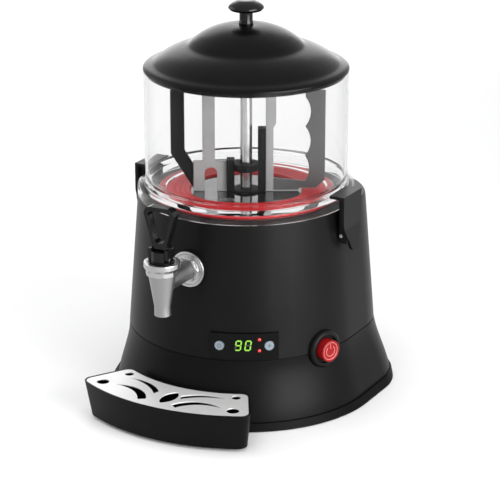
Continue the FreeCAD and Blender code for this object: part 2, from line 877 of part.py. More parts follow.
def upper_levels(top_cut):
    """Section levels of the upper shell, up to the deck less a thickness."""
    half_round = dim.rear_round / 2
    rear_straight = dim.deck_straight - half_round
    return [
        (shoulder_height, dim.shoulder_radius, dim.deck_straight, dim.plan_corner),
        (dim.deck_height - dim.shoulder_drop / 3, (dim.shoulder_radius + dim.deck_radius) / 2,
         dim.deck_straight - half_round / 3, dim.plan_corner - half_round / 3),
        (dim.deck_height - top_cut, dim.deck_radius, rear_straight, dim.plan_corner - half_round),
    ]


def make_upper_housing():
    """The tapered upper shell with its deck, clip bosses and the holes for tap, panel and switch."""
    body = new_body("upper_shell")
    groove = outline(sketch_on(body, "groove_outline", "XY_Plane", dim.seam_height),
                     plan(dim.seam_radius - dim.groove_depth, dim.seam_straight, dim.plan_corner - dim.groove_depth))
    pad(body, groove, dim.groove_height)
    wall_levels = [(groove_top, dim.seam_radius, dim.seam_straight, dim.plan_corner), upper_levels(0)[0]]
    loft(body, plan_sections(body, "upper_outer", wall_levels, 0), ruled=True)
    loft(body, plan_sections(body, "deck_outer", upper_levels(0), 0), ruled=True)
    hollow_levels = [
        (dim.seam_height, dim.seam_radius, dim.seam_straight, dim.plan_corner),
        (shoulder_height - dim.fit, dim.shoulder_radius, dim.deck_straight, dim.plan_corner),
        (dim.deck_height - dim.deck_thickness, dim.deck_radius, dim.deck_straight - dim.rear_round / 2,
         dim.plan_corner - dim.rear_round / 2),
    ]
    loft(body, plan_sections(body, "upper_hollow", hollow_levels, dim.wall + dim.fit), subtract=True, ruled=True)
    parts = [body]
    lug_root = dim.shoulder_radius - dim.wall
    lug_reach = dim.clip_pivot_out - lug_root
    lug_half = dim.clip_rib_place - dim.fit
    for side in (-1, 1):
        parts.append(centred_box(f"clip_lug_{side + 1}", lug_reach, 2 * lug_half, 2 * dim.clip_lug_radius,
                                 x=side * (lug_root + lug_reach / 2), z=dim.clip_pivot_height - dim.clip_lug_radius))
        nose = cylinder(f"clip_lug_nose_{side + 1}", dim.clip_lug_radius, 2 * lug_half)
        parts.append(place(nose, side * dim.clip_pivot_out, lug_half, dim.clip_pivot_height, roll=90))
    tap_pad = cylinder("tap_pad", dim.flange_radius + dim.fit, dim.pad_depth)
    parts.append(place(tap_pad, 0, dim.pad_depth - dim.flange_seat, dim.tap_height, roll=90))
    parts.append(centred_box("inlet_pad", dim.inlet_width + 2, 2 * dim.wall + 1, dim.inlet_tall + 2,
                             y=inlet_seat - dim.wall - 0.5, z=dim.inlet_height - dim.inlet_tall / 2 - 1))
    tools = []
    deck_hole = cylinder("deck_hole", dim.tank_radius + dim.deck_hole_gap, 2 * dim.deck_thickness)
    tools.append(place(deck_hole, 0, 0, dim.deck_height - 3 * dim.deck_thickness / 2))
    tap_hole = cylinder("tap_hole", dim.shank_radius + dim.fit, dim.deck_radius)
    tools.append(place_round(tap_hole, as_size(0), dim.deck_radius / 2 + dim.wall, dim.tap_height))
    tools.append(panel_block("panel_window", dim.fit, dim.fit, dim.panel_radius, dim.panel_inner - 2 * dim.wall))
    tools.append(switch_hole("upper_switch_hole"))
    inlet_hole = centred_box("inlet_hole", dim.inlet_body_width + dim.fit, dim.inlet_depth,
                             dim.inlet_body_tall + dim.fit, y=dim.seam_straight + dim.plan_corner,
                             z=dim.inlet_height - (dim.inlet_body_tall + dim.fit) / 2)
    tools.append(inlet_hole)
    pin_hole_length = 2 * dim.clip_rib_place
    for side in (-1, 1):
        hole = cylinder(f"boss_pin_hole_{side + 1}", dim.clip_pin_radius, pin_hole_length)
        tools.append(place(hole, side * dim.clip_pivot_out, dim.clip_rib_place, dim.clip_pivot_height, roll=90))
    node(cut("upper_housing", fuse("upper_with_bosses", parts), tools), "upper_housing")


# ---------------------------------------------------------------- control panel
def panel_block(name, side_gap, end_gap, outer, inner):
    """A piece of a ring about the bowl's axis, as wide as the panel and centred on it."""
    sweep = dim.panel_sweep + 2 * side_gap / 2.4
    start = dim.panel_turn - 90 - sweep / 2
    tall = dim.panel_height + 2 * end_gap
    bottom = dim.panel_bottom - end_gap
    full = place(cylinder(name + "_full", outer, tall, sweep), 0, 0, bottom, yaw=start)
    core = place(cylinder(name + "_core", inner, tall + 2), 0, 0, bottom - 1, yaw=start)
    return cut(name, full, [core])


def panel_turns():
    """Angles of the left and right panel button."""
    return [("left", dim.panel_turn - dim.button_swing), ("right", dim.panel_turn + dim.button_swing)]


def make_control_panel():
    block = panel_block("panel_blank", as_size(0), as_size(0), dim.panel_radius, dim.panel_inner)
    holes = []
    for side, turn in panel_turns():
        hole = cylinder(f"panel_hole_{side}", dim.button_radius + dim.fit, dim.panel_radius - dim.panel_inner + 4)
        holes.append(place_round(hole, turn, dim.panel_inner - 2, dim.button_height))
    node(cut("control_panel", block, holes), "control_panel")
    for side, turn in panel_turns():
        button = cylinder(f"panel_cap_{side}", dim.button_radius, dim.button_length)
        back = dim.panel_radius + dim.button_proud - dim.button_length
        node(place_round(button, turn, back, dim.button_height), f"panel_button_{side}")


def make_display():
    """Two seven-bar digits that read 90: each lit bar is a small block on the panel's face."""
    stroke = dim.segment_width
    half = dim.digit_height / 2
    gap = dim.fit / 2
    bars = {
        "top": (0, dim.digit_height - stroke, True),
        "middle": (0, half - stroke / 2, True),
        "bottom": (0, 0, True),
        "upper_left": (-1, half, False),
        "upper_right": (1, half, False),
        "lower_left": (-1, 0, False),
        "lower_right": (1, 0, False),
    }
    nine = ["top", "middle", "bottom", "upper_left", "upper_right", "lower_right"]
    zero = ["top", "bottom", "upper_left", "upper_right", "lower_left", "lower_right"]
    parts = []
    for number, lit in enumerate((nine, zero)):
        centre = (number - 0.5) * dim.digit_pitch + dim.digit_offset
        for bar in lit:
            side, rise, level = bars[bar]
            across = dim.digit_width - 2 * stroke - 2 * gap if level else stroke
            tall = stroke if level else half - stroke - gap
            shift = centre + side * (dim.digit_width - stroke) / 2
            lift = as_size(rise) if level else rise + stroke / 2 + gap
            turn = dim.panel_turn + arcsine(shift / dim.panel_radius)
            piece = radial_box(f"{bar}_{number}", dim.segment_thickness, across, tall, turn,
                               dim.panel_radius + dim.segment_thickness, dim.digit_bottom + lift)
            parts.append(piece)
    node(group("digit_set", parts), "display_digits")


def make_indicators():
    """Two red lamps beside the digits."""
    parts = []
    turn = dim.panel_turn + dim.led_swing
    for number, height in enumerate((dim.led_upper, dim.led_lower)):
        lamp = cylinder(f"lamp_{number}", dim.led_radius, dim.segment_thickness + dim.fit)
        parts.append(place_round(lamp, turn, dim.panel_radius, height))
    node(group("lamp_set", parts), "indicator_lamps")


def make_control_board():
    """Circuit board behind the panel, on four posts, with its chips and a transformer."""
    middle = dim.button_height
    bottom = middle - dim.board_height / 2
    board = radial_box("board_sheet", dim.board_thickness, dim.board_length, dim.board_height,
                       dim.panel_turn, dim.board_place, bottom)
    back = dim.board_place - dim.board_thickness
    chip = radial_box("board_chip", as_size(3), as_size(12), as_size(9), dim.panel_turn, back, middle, -14)
    block = radial_box("board_block", as_size(14), as_size(20), as_size(16), dim.panel_turn, back, bottom + 2, 15)
    node(fuse("board_parts", [board, chip, block]), "control_board")
    posts = []
    span = root(square(dim.panel_inner) - square(dim.post_place + dim.post_radius)) - dim.board_place
    for side in (-1, 1):
        for level in (-1, 1):
            post = cylinder(f"post_{side + 1}_{level + 1}", dim.post_radius, span)
            x = dim.board_place * sine(dim.panel_turn) + side * dim.post_place * cosine(dim.panel_turn)
            y = side * dim.post_place * sine(dim.panel_turn) - dim.board_place * cosine(dim.panel_turn)
            z = middle + level * (dim.board_height / 2 - 2 * dim.post_radius)
            posts.append(place(post, x, y, z, yaw=dim.panel_turn, roll=90))
    node(group("post_set", posts), "board_posts")


# ---------------------------------------------------------------- power switch
def make_power_switch():
    length = dim.bezel_front - dim.bezel_back
    disc = place_round(cylinder("bezel_disc", dim.bezel_radius, length), dim.switch_turn,
                       dim.bezel_back, dim.switch_height)
    hole = place_round(cylinder("bezel_hole", dim.switch_hole, length + 2), dim.switch_turn,
                       dim.bezel_back - 1, dim.switch_height)
    dish = place_round(cylinder("bezel_dish", dim.bezel_face, length / 4), dim.switch_turn,
                       dim.bezel_front - length / 4 + 0.01, dim.switch_height)
    node(cut("power_bezel", disc, [hole, dish]), "power_bezel")
    cap = place_round(cylinder("switch_cap", dim.switch_cap, dim.switch_cap_front - dim.switch_cap_back),
                      dim.switch_turn, dim.switch_cap_back, dim.switch_height)
    stem = place_round(cylinder("switch_stem", dim.switch_stem_radius, dim.switch_stem_length + 1),
                       dim.switch_turn, dim.switch_cap_back - dim.switch_stem_length, dim.switch_height)
    node(fuse("switch_button", [cap, stem]), "power_button")
    shell = radial_box("switch_shell", dim.switch_body_length, dim.switch_body_width, dim.switch_body_width,
                       dim.switch_turn, dim.bezel_back, dim.switch_height - dim.switch_body_width / 2)
    collar = place_round(cylinder("switch_collar", dim.switch_hole + dim.wall, dim.switch_body_length / 4),
                         dim.switch_turn, dim.bezel_back - dim.switch_body_length / 4, dim.switch_height)
    bed = place_round(cylinder("switch_bed", dim.switch_hole, dim.switch_body_length / 6),
                      dim.switch_turn, dim.bezel_back - dim.switch_body_length / 6, dim.switch_height)
    well = place_round(cylinder("switch_well", dim.switch_stem_radius + dim.fit, dim.switch_body_length / 3),
                       dim.switch_turn, dim.bezel_back - dim.switch_body_length / 3, dim.switch_height)
    node(cut("power_switch", fuse("switch_parts", [shell, collar]), [bed, well]), "power_switch")


# ---------------------------------------------------------------- mains inlet
def make_mains_inlet():
    """A flanged three-pole inlet in the flat rear of the upper shell."""
    seat = inlet_seat
    flange = centred_box("inlet_flange", dim.inlet_width, dim.inlet_plate, dim.inlet_tall,
                         y=seat + dim.inlet_plate / 2, z=dim.inlet_height - dim.inlet_tall / 2)
    shell = centred_box("inlet_shell", dim.inlet_body_width, dim.inlet_depth, dim.inlet_body_tall,
                        y=seat - dim.inlet_depth / 2, z=dim.inlet_height - dim.inlet_body_tall / 2)
    depth = dim.socket_depth + dim.inlet_plate
    socket = centred_box("inlet_socket", dim.socket_width, depth, dim.socket_tall,
                         y=seat + dim.inlet_plate - depth / 2, z=dim.inlet_height - dim.socket_tall / 2)
    holes = [socket]
    for side in (-1, 1):
        hole = cylinder(f"inlet_screw_hole_{side + 1}", dim.screw_radius, dim.inlet_plate + 2)
        x = side * (dim.inlet_width / 2 - dim.boss_radius + 1)
        holes.append(place(hole, x, seat + dim.inlet_plate + 1, dim.inlet_height, roll=90))
    blades = [cut("inlet_housing", fuse("inlet_parts", [flange, shell]), holes)]
    for number in (-1, 0, 1):
        lift = dim.blade_contact_pitch / 3 if number == 0 else -(dim.blade_contact_pitch / 3)
        blade = centred_box(f"inlet_blade_{number + 1}", dim.blade_contact_thick, dim.blade_contact_length,
                            dim.blade_contact_width, x=number * dim.blade_contact_pitch,
                            y=seat + dim.inlet_plate - depth + dim.blade_contact_length / 2,
                            z=dim.inlet_height - dim.blade_contact_width / 2 + lift)
        blades.append(blade)
    node(fuse("inlet_whole", blades), "mains_inlet")


# ---------------------------------------------------------------- water bath
pan_top = dim.deck_height + dim.pan_thickness
gasket_top = pan_top + dim.gasket_thickness


def element_leads():
    """The two ends of the heating ring: x and y."""
    return [(dim.element_ring, as_size(0)), (dim.element_ring * cosine(as_size(18)), dim.element_ring * sine(as_size(18)))]


def make_water_tank():
    """Open tank that hangs under the bowl's floor, with holes for its column, element, probe and drain."""
    tank = turned("tank_shell", [
        (dim.column_radius, dim.tank_floor),
        (dim.tank_radius, dim.tank_floor),
        (dim.tank_radius, dim.deck_height),
        (dim.tank_radius - dim.tank_wall, dim.deck_height),
        (dim.tank_radius - dim.tank_wall, dim.tank_floor + dim.tank_wall),
        (dim.column_radius, dim.tank_floor + dim.tank_wall),
    ])
    holes = []
    for number, (x, y) in enumerate(element_leads()):
        lead = cylinder(f"tank_lead_hole_{number}", dim.lead_radius, 3 * dim.tank_wall)
        holes.append(place(lead, x, y, dim.tank_floor - dim.tank_wall))
    probe = cylinder("tank_probe_hole", dim.probe_radius, 3 * dim.tank_wall)
    holes.append(place(probe, -dim.probe_place, 0, dim.tank_floor - dim.tank_wall))
    drain = cylinder("tank_drain_hole", dim.pipe_radius, dim.tank_radius)
    holes.append(place(drain, 0, -dim.drain_place, dim.tap_height, roll=90))
    node(cut("water_tank", tank, holes), "water_tank")


def make_floor_pan():
    """Steel floor of the bowl: it lies on the deck and closes the tank."""
    sheet_metal = cylinder("pan_sheet", dim.pan_radius, dim.pan_thickness)
    place(sheet_metal, 0, 0, dim.deck_height)
    column_hole = place(cylinder("pan_column_hole", dim.column_radius, 3 * dim.pan_thickness),
                        0, 0, dim.deck_height - dim.pan_thickness)
    drain_hole = place(cylinder("pan_drain_hole", dim.pipe_radius, 3 * dim.pan_thickness),
                       0, -dim.drain_place, dim.deck_height - dim.pan_thickness)
    node(cut("floor_pan", sheet_metal, [column_hole, drain_hole]), "floor_pan")


def make_gasket():
    ring = turned("gasket_ring", [
        (dim.gasket_inner, pan_top),
        (dim.gasket_radius, pan_top),
        (dim.gasket_radius, gasket_top),
        (dim.gasket_inner + dim.gasket_thickness, gasket_top),
    ])
    node(ring, "bowl_gasket")


def make_heating_element():
    """A ring on the floor of the bath whose two ends go down through the floor."""
    height = dim.tank_floor + dim.element_lift
    parts = [place(torus("element_coil", dim.element_ring, dim.element_radius), 0, 0, height)]
    for number, (x, y) in enumerate(element_leads()):
        lead = cylinder(f"element_lead_{number}", dim.lead_radius, dim.element_lift + dim.lead_length)
        parts.append(place(lead, x, y, dim.tank_floor - dim.lead_length))
    node(fuse("element_parts", parts), "heating_element")


def make_probe():
    rod = cylinder("probe_rod", dim.probe_radius, dim.probe_length)
    place(rod, -dim.probe_place, 0, dim.tank_floor - dim.lead_length)
    node(rod, "temperature_probe")


def make_outlet_pipe():
    """Elbow from the hole in the bowl's floor to the tap's shank."""
    bore = dim.pipe_radius - dim.pipe_wall
    reach = dim.shank_start - dim.drain_place
    down = pan_top - dim.tap_height
    outer = [
        place(cylinder("pipe_drop", dim.pipe_radius, down), 0, -dim.drain_place, dim.tap_height),
        place(cylinder("pipe_run", dim.pipe_radius, reach), 0, -dim.drain_place, dim.tap_height, roll=90),
        place(sphere("pipe_elbow", dim.pipe_radius), 0, -dim.drain_place, dim.tap_height),
    ]
    inner = [
        place(cylinder("bore_drop", bore, down + 1), 0, -dim.drain_place, dim.tap_height),
        place(cylinder("bore_run", bore, reach + 1), 0, -dim.drain_place, dim.tap_height, roll=90),
        place(sphere("bore_elbow", bore), 0, -dim.drain_place, dim.tap_height),
    ]
    node(cut("outlet_pipe", fuse("pipe_outer", outer), inner), "outlet_pipe")


def sphere(name, radius):
    obj = doc.addObject("Part::Sphere", name)
    bind(obj, "Radius", radius)
    return obj


# ---------------------------------------------------------------- drive
plate_bottom = dim.tank_floor - dim.plate_thickness
gearbox_top = plate_bottom - dim.gearbox_drop


def make_support_frame():
    """Steel plate on three legs that carries the tank and the gear motor."""
    disc = place(cylinder("frame_disc", dim.plate_radius, dim.plate_thickness), 0, 0, plate_bottom)
    parts = [disc]
    for number, turn in enumerate((0, 120, 240)):
        angle = as_size(turn)
        leg = radial_box(f"frame_leg_{number}", dim.plate_thickness, dim.leg_width, plate_bottom - inner_floor,
                         angle, dim.plate_radius - dim.fit, inner_floor)
        tab = radial_box(f"frame_tab_{number}", dim.leg_width, dim.leg_width, dim.plate_thickness,
                         angle, dim.plate_radius + dim.leg_width - 2 * dim.fit, inner_floor)
        parts.extend([leg, tab])
    holes = [place(cylinder("frame_shaft_hole", dim.coupling_radius + 3, 3 * dim.plate_thickness),
                   0, 0, plate_bottom - dim.plate_thickness)]
    for number, (x, y) in enumerate(element_leads()):
        hole = cylinder(f"frame_lead_hole_{number}", dim.lead_radius + 3, 3 * dim.plate_thickness)
        holes.append(place(hole, x, y, plate_bottom - dim.plate_thickness))
    probe = cylinder("frame_probe_hole", dim.probe_radius + 3, 3 * dim.plate_thickness)
    holes.append(place(probe, -dim.probe_place, 0, plate_bottom - dim.plate_thickness))
    node(cut("support_frame", fuse("frame_parts", parts), holes), "support_frame")


def make_gear_motor():
    """Gearbox hung under the plate with its motor can below."""
    gearbox = centred_box("gearbox", dim.gearbox_length, dim.gearbox_width, dim.gearbox_height,
                          z=gearbox_top - dim.gearbox_height)
    can = place(cylinder("motor_can", dim.motor_radius, dim.motor_length), 0, 0,
                gearbox_top - dim.gearbox_height - dim.motor_length)
    socket = place(cylinder("output_socket", dim.shaft_radius + dim.running_fit, dim.shaft_grip + 1),
                   0, 0, gearbox_top - dim.shaft_grip)
    node(cut("gear_motor", fuse("motor_parts", [gearbox, can]), [socket]), "gear_motor")
    spacers = []
    for side in (-1, 1):
        for end in (-1, 1):
            post = cylinder(f"spacer_{side + 1}_{end + 1}", dim.spacer_radius, dim.gearbox_drop)
            x = side * (dim.gearbox_length / 2 - 2 * dim.spacer_radius)
            y = end * (dim.gearbox_width / 2 - 2 * dim.spacer_radius)
            spacers.append(place(post, x, y, gearbox_top))
    node(group("spacer_set", spacers), "motor_spacers")


def make_column():
    """Fixed steel tube from the plate up through the bath and the bowl, with a bush at each end."""
    height = dim.column_top - dim.tank_floor
    tube = place(cylinder("column_outer", dim.column_radius, height), 0, 0, dim.tank_floor)
    bore = place(cylinder("column_hollow", dim.column_bore, height + 2), 0, 0, dim.tank_floor - 1)
    node(cut("column_tube", tube, [bore]), "column_tube")
    rings = []
    for number, bottom in enumerate((dim.tank_floor, dim.column_top - dim.bush_length)):
        ring = place(cylinder(f"bush_{number}", dim.column_bore, dim.bush_length), 0, 0, bottom)
        hole = place(cylinder(f"bush_hole_{number}", dim.shaft_radius + dim.running_fit, dim.bush_length + 2),
                     0, 0, bottom - 1)
        rings.append(cut(f"bush_ring_{number}", ring, [hole]))
    node(group("bush_set", rings), "column_bushes")


def make_drive_shaft():
    bottom = gearbox_top - dim.shaft_grip + dim.fit
    shaft = cylinder("shaft_rod", dim.shaft_radius, dim.shaft_top - bottom)
    node(place(shaft, 0, 0, bottom), "drive_shaft")
    sleeve_bottom = gearbox_top + 1
    sleeve = place(cylinder("coupling_sleeve", dim.coupling_radius, dim.coupling_length), 0, 0, sleeve_bottom)
    hole = place(cylinder("coupling_hole", dim.shaft_radius, dim.coupling_length + 2), 0, 0, sleeve_bottom - 1)
    node(cut("shaft_coupling", sleeve, [hole]), "shaft_coupling")


# ---------------------------------------------------------------- bowl
def make_bowl():
    """Clear bowl: a straight wall, a conical foot that seals on the gasket and an outer skirt."""
    inner = dim.bowl_radius - dim.bowl_wall
    lip_outer = dim.bowl_lip + dim.bowl_lip_width
    skirt_inner = dim.bowl_skirt - dim.skirt_wall
    node(turned("bowl_shell", [
        (dim.bowl_skirt, dim.deck_height),
        (dim.bowl_skirt, dim.skirt_shoulder - dim.skirt_edge),
        (dim.bowl_skirt - dim.skirt_edge, dim.skirt_shoulder),
        (dim.bowl_radius + 2, dim.skirt_shoulder + 1.4),
        (dim.bowl_radius, dim.skirt_shoulder + 5),
        (dim.bowl_radius, dim.bowl_top),
        (inner, dim.bowl_top),
        (inner, dim.bowl_knee),
        (dim.bowl_lip, gasket_top + dim.bowl_lip_rise),
        (dim.bowl_lip, gasket_top),
        (lip_outer, gasket_top),
        (inner - 1, dim.skirt_shoulder - dim.skirt_wall),
        (skirt_inner, dim.skirt_shoulder - dim.skirt_wall - 1),
        (skirt_inner, dim.deck_height),
    ]), "bowl")


# ---------------------------------------------------------------- stirrer
blade_bottom = gasket_top + dim.stirrer_gap
web_bottom = pan_top + dim.stirrer_gap
stirrer_bore = dim.column_radius + dim.hub_bore_gap


def turn_stirrer(obj):
    return place(obj, yaw=dim.stirrer_turn)


def block(name, x_low, x_high, z_low, z_high, depth):
    """A block between two x and two z, centred in depth."""
    return place(box(name, x_high - x_low, depth, z_high - z_low), x_low, -(depth / 2), z_low)


def make_stirrer_hub():
    """Collar and foot ring that run round the column, joined by two cheeks."""
    parts = [
        place(cylinder("hub_collar", dim.hub_radius, dim.collar_height), 0, 0, dim.collar_bottom),
        place(cylinder("hub_foot", dim.hub_radius, dim.hub_ring), 0, 0, web_bottom),
        block("left_cheek", -dim.cheek_outer, -dim.cheek_inner, web_bottom, dim.left_cheek_top, dim.cheek_depth),
        block("right_cheek", dim.cheek_inner, dim.cheek_outer, web_bottom, dim.right_cheek_top, dim.cheek_depth),
    ]
    bore = place(cylinder("hub_bore", stirrer_bore, dim.right_cheek_top), 0, 0, web_bottom - 1)
    node(turn_stirrer(cut("stirrer_hub", fuse("hub_parts", parts), [bore])), "stirrer_hub")


def make_left_web():
    """Flat web with an arch, and the tall bar that rises from it to the bridge."""
    web = block("web_sheet", -dim.web_outer, -dim.cheek_outer, web_bottom, dim.web_top, dim.blade_thickness)
    bar = block("left_bar", -dim.left_bar_outer, -dim.left_bar_inner, web_bottom, dim.bridge_bottom,
                dim.blade_thickness)
    half = (dim.arch_outer - dim.arch_inner) / 2
    middle = -((dim.arch_outer + dim.arch_inner) / 2)
    arch_box = block("arch_box", middle - half, middle + half, web_bottom - 1, dim.arch_top - half,
                     2 * dim.blade_thickness)
    arch_round = place(cylinder("arch_round", half, 2 * dim.blade_thickness),
                       middle, dim.blade_thickness, dim.arch_top - half, roll=90)
    web_cut = cut("left_web", fuse("web_parts", [web, bar]), [arch_box, arch_round])
    node(turn_stirrer(web_cut), "stirrer_web")


def make_left_blade():
    """Outer blade that leans in to the web at its lower end."""
    outer = -dim.blade_outer
    inner = dim.blade_width - dim.blade_outer
    blade = upright("left_blade", [
        (outer, dim.blade_top),
        (outer, dim.blade_bend),
        (-dim.web_outer, blade_bottom),
        (-dim.web_outer, dim.web_top - dim.blade_thickness),
        (inner, dim.blade_bend + dim.blade_thickness),
        (inner, dim.blade_top),
    ], dim.blade_thickness)
    node(turn_stirrer(blade), "stirrer_blade")


def make_right_bar():
    """Tall bar beside the right cheek, a little narrower below its step."""
    inner = dim.cheek_outer
    outer = dim.cheek_outer + dim.right_bar_width
    bar = upright("right_bar", [
        (inner, web_bottom),
        (outer - dim.right_bar_step, web_bottom),
        (outer - dim.right_bar_step, dim.right_bar_step_height),
        (outer, dim.right_bar_step_height + 2 * dim.right_bar_step),
        (outer, dim.bridge_bottom),
        (inner, dim.bridge_bottom),
    ], dim.blade_thickness)
    node(turn_stirrer(bar), "stirrer_bar")


def make_right_paddle():
    """Outer paddle with a scalloped inner edge on a low arm."""
    start = dim.cheek_outer + dim.right_bar_width - dim.right_bar_step
    half_chord = dim.wave_pitch / 2
    scallop = (square(half_chord) + square(dim.wave_depth)) / (2 * dim.wave_depth)
    arm_top = blade_bottom + dim.arm_height
    top = dim.blade_top
    first = top - 2 * dim.blade_thickness
    paddle = upright("right_paddle", [
        (start, web_bottom),
        (dim.web_outer, web_bottom),
        (dim.web_outer, blade_bottom),
        (dim.paddle_outer - dim.paddle_chamfer, blade_bottom),
        (dim.paddle_outer, blade_bottom + dim.paddle_chamfer),
        (dim.paddle_outer, top),
        (dim.paddle_inner, top),
        (dim.paddle_inner, first, scallop, -1),
        (dim.paddle_inner, first - dim.wave_pitch, scallop, -1),
        (dim.paddle_inner, first - 2 * dim.wave_pitch, scallop, -1),
        (dim.paddle_inner, arm_top - dim.blade_thickness),
        (start, arm_top),
    ], dim.blade_thickness)
    node(turn_stirrer(paddle), "stirrer_paddle")


def make_drive_cap():
    """Bridge at the top: the shaft turns it and the two bars hang from it."""
    left = dim.left_bar_outer
    right = dim.cheek_outer + dim.right_bar_width
    bridge = block("bridge", -left, right, dim.bridge_bottom, dim.bridge_bottom + dim.bridge_height,
                   2 * dim.blade_thickness)
    cap = place(cylinder("cap_round", dim.cap_radius, dim.bridge_bottom + dim.bridge_height - dim.column_top - 1),
                0, 0, dim.column_top + 1)
    hole = place(cylinder("cap_hole", dim.shaft_radius, dim.shaft_top - dim.column_top), 0, 0, dim.column_top)
    node(turn_stirrer(cut("drive_cap", fuse("cap_parts", [bridge, cap]), [hole])), "drive_cap")


# ---------------------------------------------------------------- lid
def make_lid():
    """Black lid: a sloped rim over the bowl's edge, a dome and a smaller dome on it."""
    wall = dim.lid_wall
    rim_inner = dim.bowl_radius - dim.bowl_wall - dim.lid_lip_gap
    seat = dim.bowl_top + dim.running_fit
    rim_top = dim.lid_bottom + dim.lid_edge
    dome_bulge = 95
    crown_bulge = 78
    node(turned("lid", [
        (dim.lid_rim, dim.lid_bottom + 1),
        (dim.lid_rim, rim_top),
        (dim.lid_rim - 3.4, (rim_top + dim.lid_flange) / 2),
        (dim.lid_crease, dim.lid_flange, dome_bulge, 1),
        (dim.dome_radius, dim.dome_height),
        (dim.crown_radius, dim.crown_height, crown_bulge, 1),
        (dim.knob_stem, dim.crown_top),
        (dim.knob_screw + dim.fit, dim.crown_top),
        (dim.knob_screw + dim.fit, dim.crown_top - wall),
        (dim.knob_stem, dim.crown_top - wall, crown_bulge, -1),
        (dim.crown_radius - wall, dim.crown_height - wall),
        (dim.dome_radius - wall, dim.dome_height - wall, dome_bulge, -1),
        (dim.lid_crease - wall, dim.lid_flange - wall),
        (rim_inner - wall, dim.lid_flange - wall),
        (rim_inner - wall, dim.bowl_top - dim.lid_lip_drop),
        (rim_inner, dim.bowl_top - dim.lid_lip_drop),
        (rim_inner, seat),
        (dim.bowl_radius + dim.fit, seat),
        (dim.bowl_radius + dim.fit, dim.lid_bottom + 1),
    ]), "lid_shell")


def make_knob():
    """Turned knob: a stem and a mushroom cap, held by a screw from inside the lid."""
    bulge = 24
    knob = turned("knob", [
        (0, dim.crown_top),
        (dim.knob_stem, dim.crown_top),
        (dim.knob_stem, dim.knob_bottom),
        (dim.knob_radius - 2, dim.knob_bottom),
        (dim.knob_radius, dim.knob_bottom + 3),
        (dim.knob_radius - 1.5, dim.knob_bottom + 6, bulge, 1),
        (dim.knob_stem, dim.knob_top),
        (0, dim.knob_top),
    ])
    bore = place(cylinder("knob_bore", dim.knob_screw, dim.knob_screw_length), 0, 0, dim.crown_top - dim.lid_wall)
    node(cut("knob_drilled", knob, [bore]), "lid_knob")
    head_height = dim.knob_screw
    shank = place(cylinder("knob_shank", dim.knob_screw, dim.knob_screw_length), 0, 0, dim.crown_top - dim.lid_wall)
    head = place(cylinder("knob_head", 2 * dim.knob_screw, head_height), 0, 0,
                 dim.crown_top - dim.lid_wall - head_height)
    node(fuse("knob_screw_parts", [shank, head]), "knob_screw")


# ---------------------------------------------------------------- tap
bonnet_seat = dim.collar_top - 2
plug_bottom = dim.seat_height + dim.running_fit
plug_top = plug_bottom + dim.seal_height
spring_top = bonnet_seat + dim.spring_pocket


def at_tap(obj):
    return place(obj, 0, -dim.tap_reach, 0)


def at_tap_height(obj, z):
    return place(obj, 0, -dim.tap_reach, z)


def make_tap_body():
    """Steel spout body: a cone over a straight spout, a valve seat and the shank to the base."""
    cone = turned("tap_cone", [
        (0, dim.spout_bottom),
        (dim.spout_radius, dim.spout_bottom),
        (dim.spout_radius, dim.cone_bottom),
        (dim.cone_radius, dim.cone_top),
        (dim.tap_neck, dim.cone_top),
        (dim.tap_neck, bonnet_seat),
        (0, bonnet_seat),
    ])
    at_tap(cone)
    length = dim.tap_reach - dim.shank_start - dim.spout_bore
    shank = place(cylinder("tap_shank", dim.shank_radius, length), 0, -dim.shank_start, dim.tap_height, roll=90)
    chamber = at_tap(turned("tap_chamber", [
        (0, dim.seat_height),
        (dim.spout_radius, dim.seat_height),
        (dim.chamber_radius, dim.tap_height + dim.shank_bore),
        (dim.chamber_radius, dim.collar_top),
        (0, dim.collar_top),
    ]))
    spout = at_tap_height(cylinder("spout_hollow", dim.spout_bore, dim.seat_height - dim.spout_bottom + 2),
                          dim.spout_bottom - 1)
    bore = place(cylinder("shank_hollow", dim.shank_bore, length + 1), 0, 1 - dim.shank_start, dim.tap_height,
                 roll=90)
    node(cut("tap_casting", fuse("tap_solid", [cone, shank]), [chamber, spout, bore]), "tap_body")


def ring_points(radius, sides):
    """Corner points of a regular polygon."""
    points = []
    for number in range(sides):
        angle = as_size(360 / sides * (number + 0.5))
        points.append((radius * cosine(angle), radius * sine(angle)))
    return points


def make_tap_collar():
    """Faceted ring nut that holds the bonnet on the tap."""
    facets = plate("collar_facets", ring_points(dim.collar_radius - 1.8, 10), dim.collar_top - dim.cone_top,
                   dim.cone_top)
    lip_height = (dim.collar_top - dim.cone_top) / 2
    lip = place(cylinder("collar_lip", dim.collar_radius, lip_height), 0, 0, dim.collar_top - lip_height)
    hole = place(cylinder("collar_hole", dim.tap_neck, dim.collar_top), 0, 0, dim.cone_top - 1)
    node(at_tap(cut("tap_collar", fuse("collar_solid", [facets, lip]), [hole])), "tap_collar")


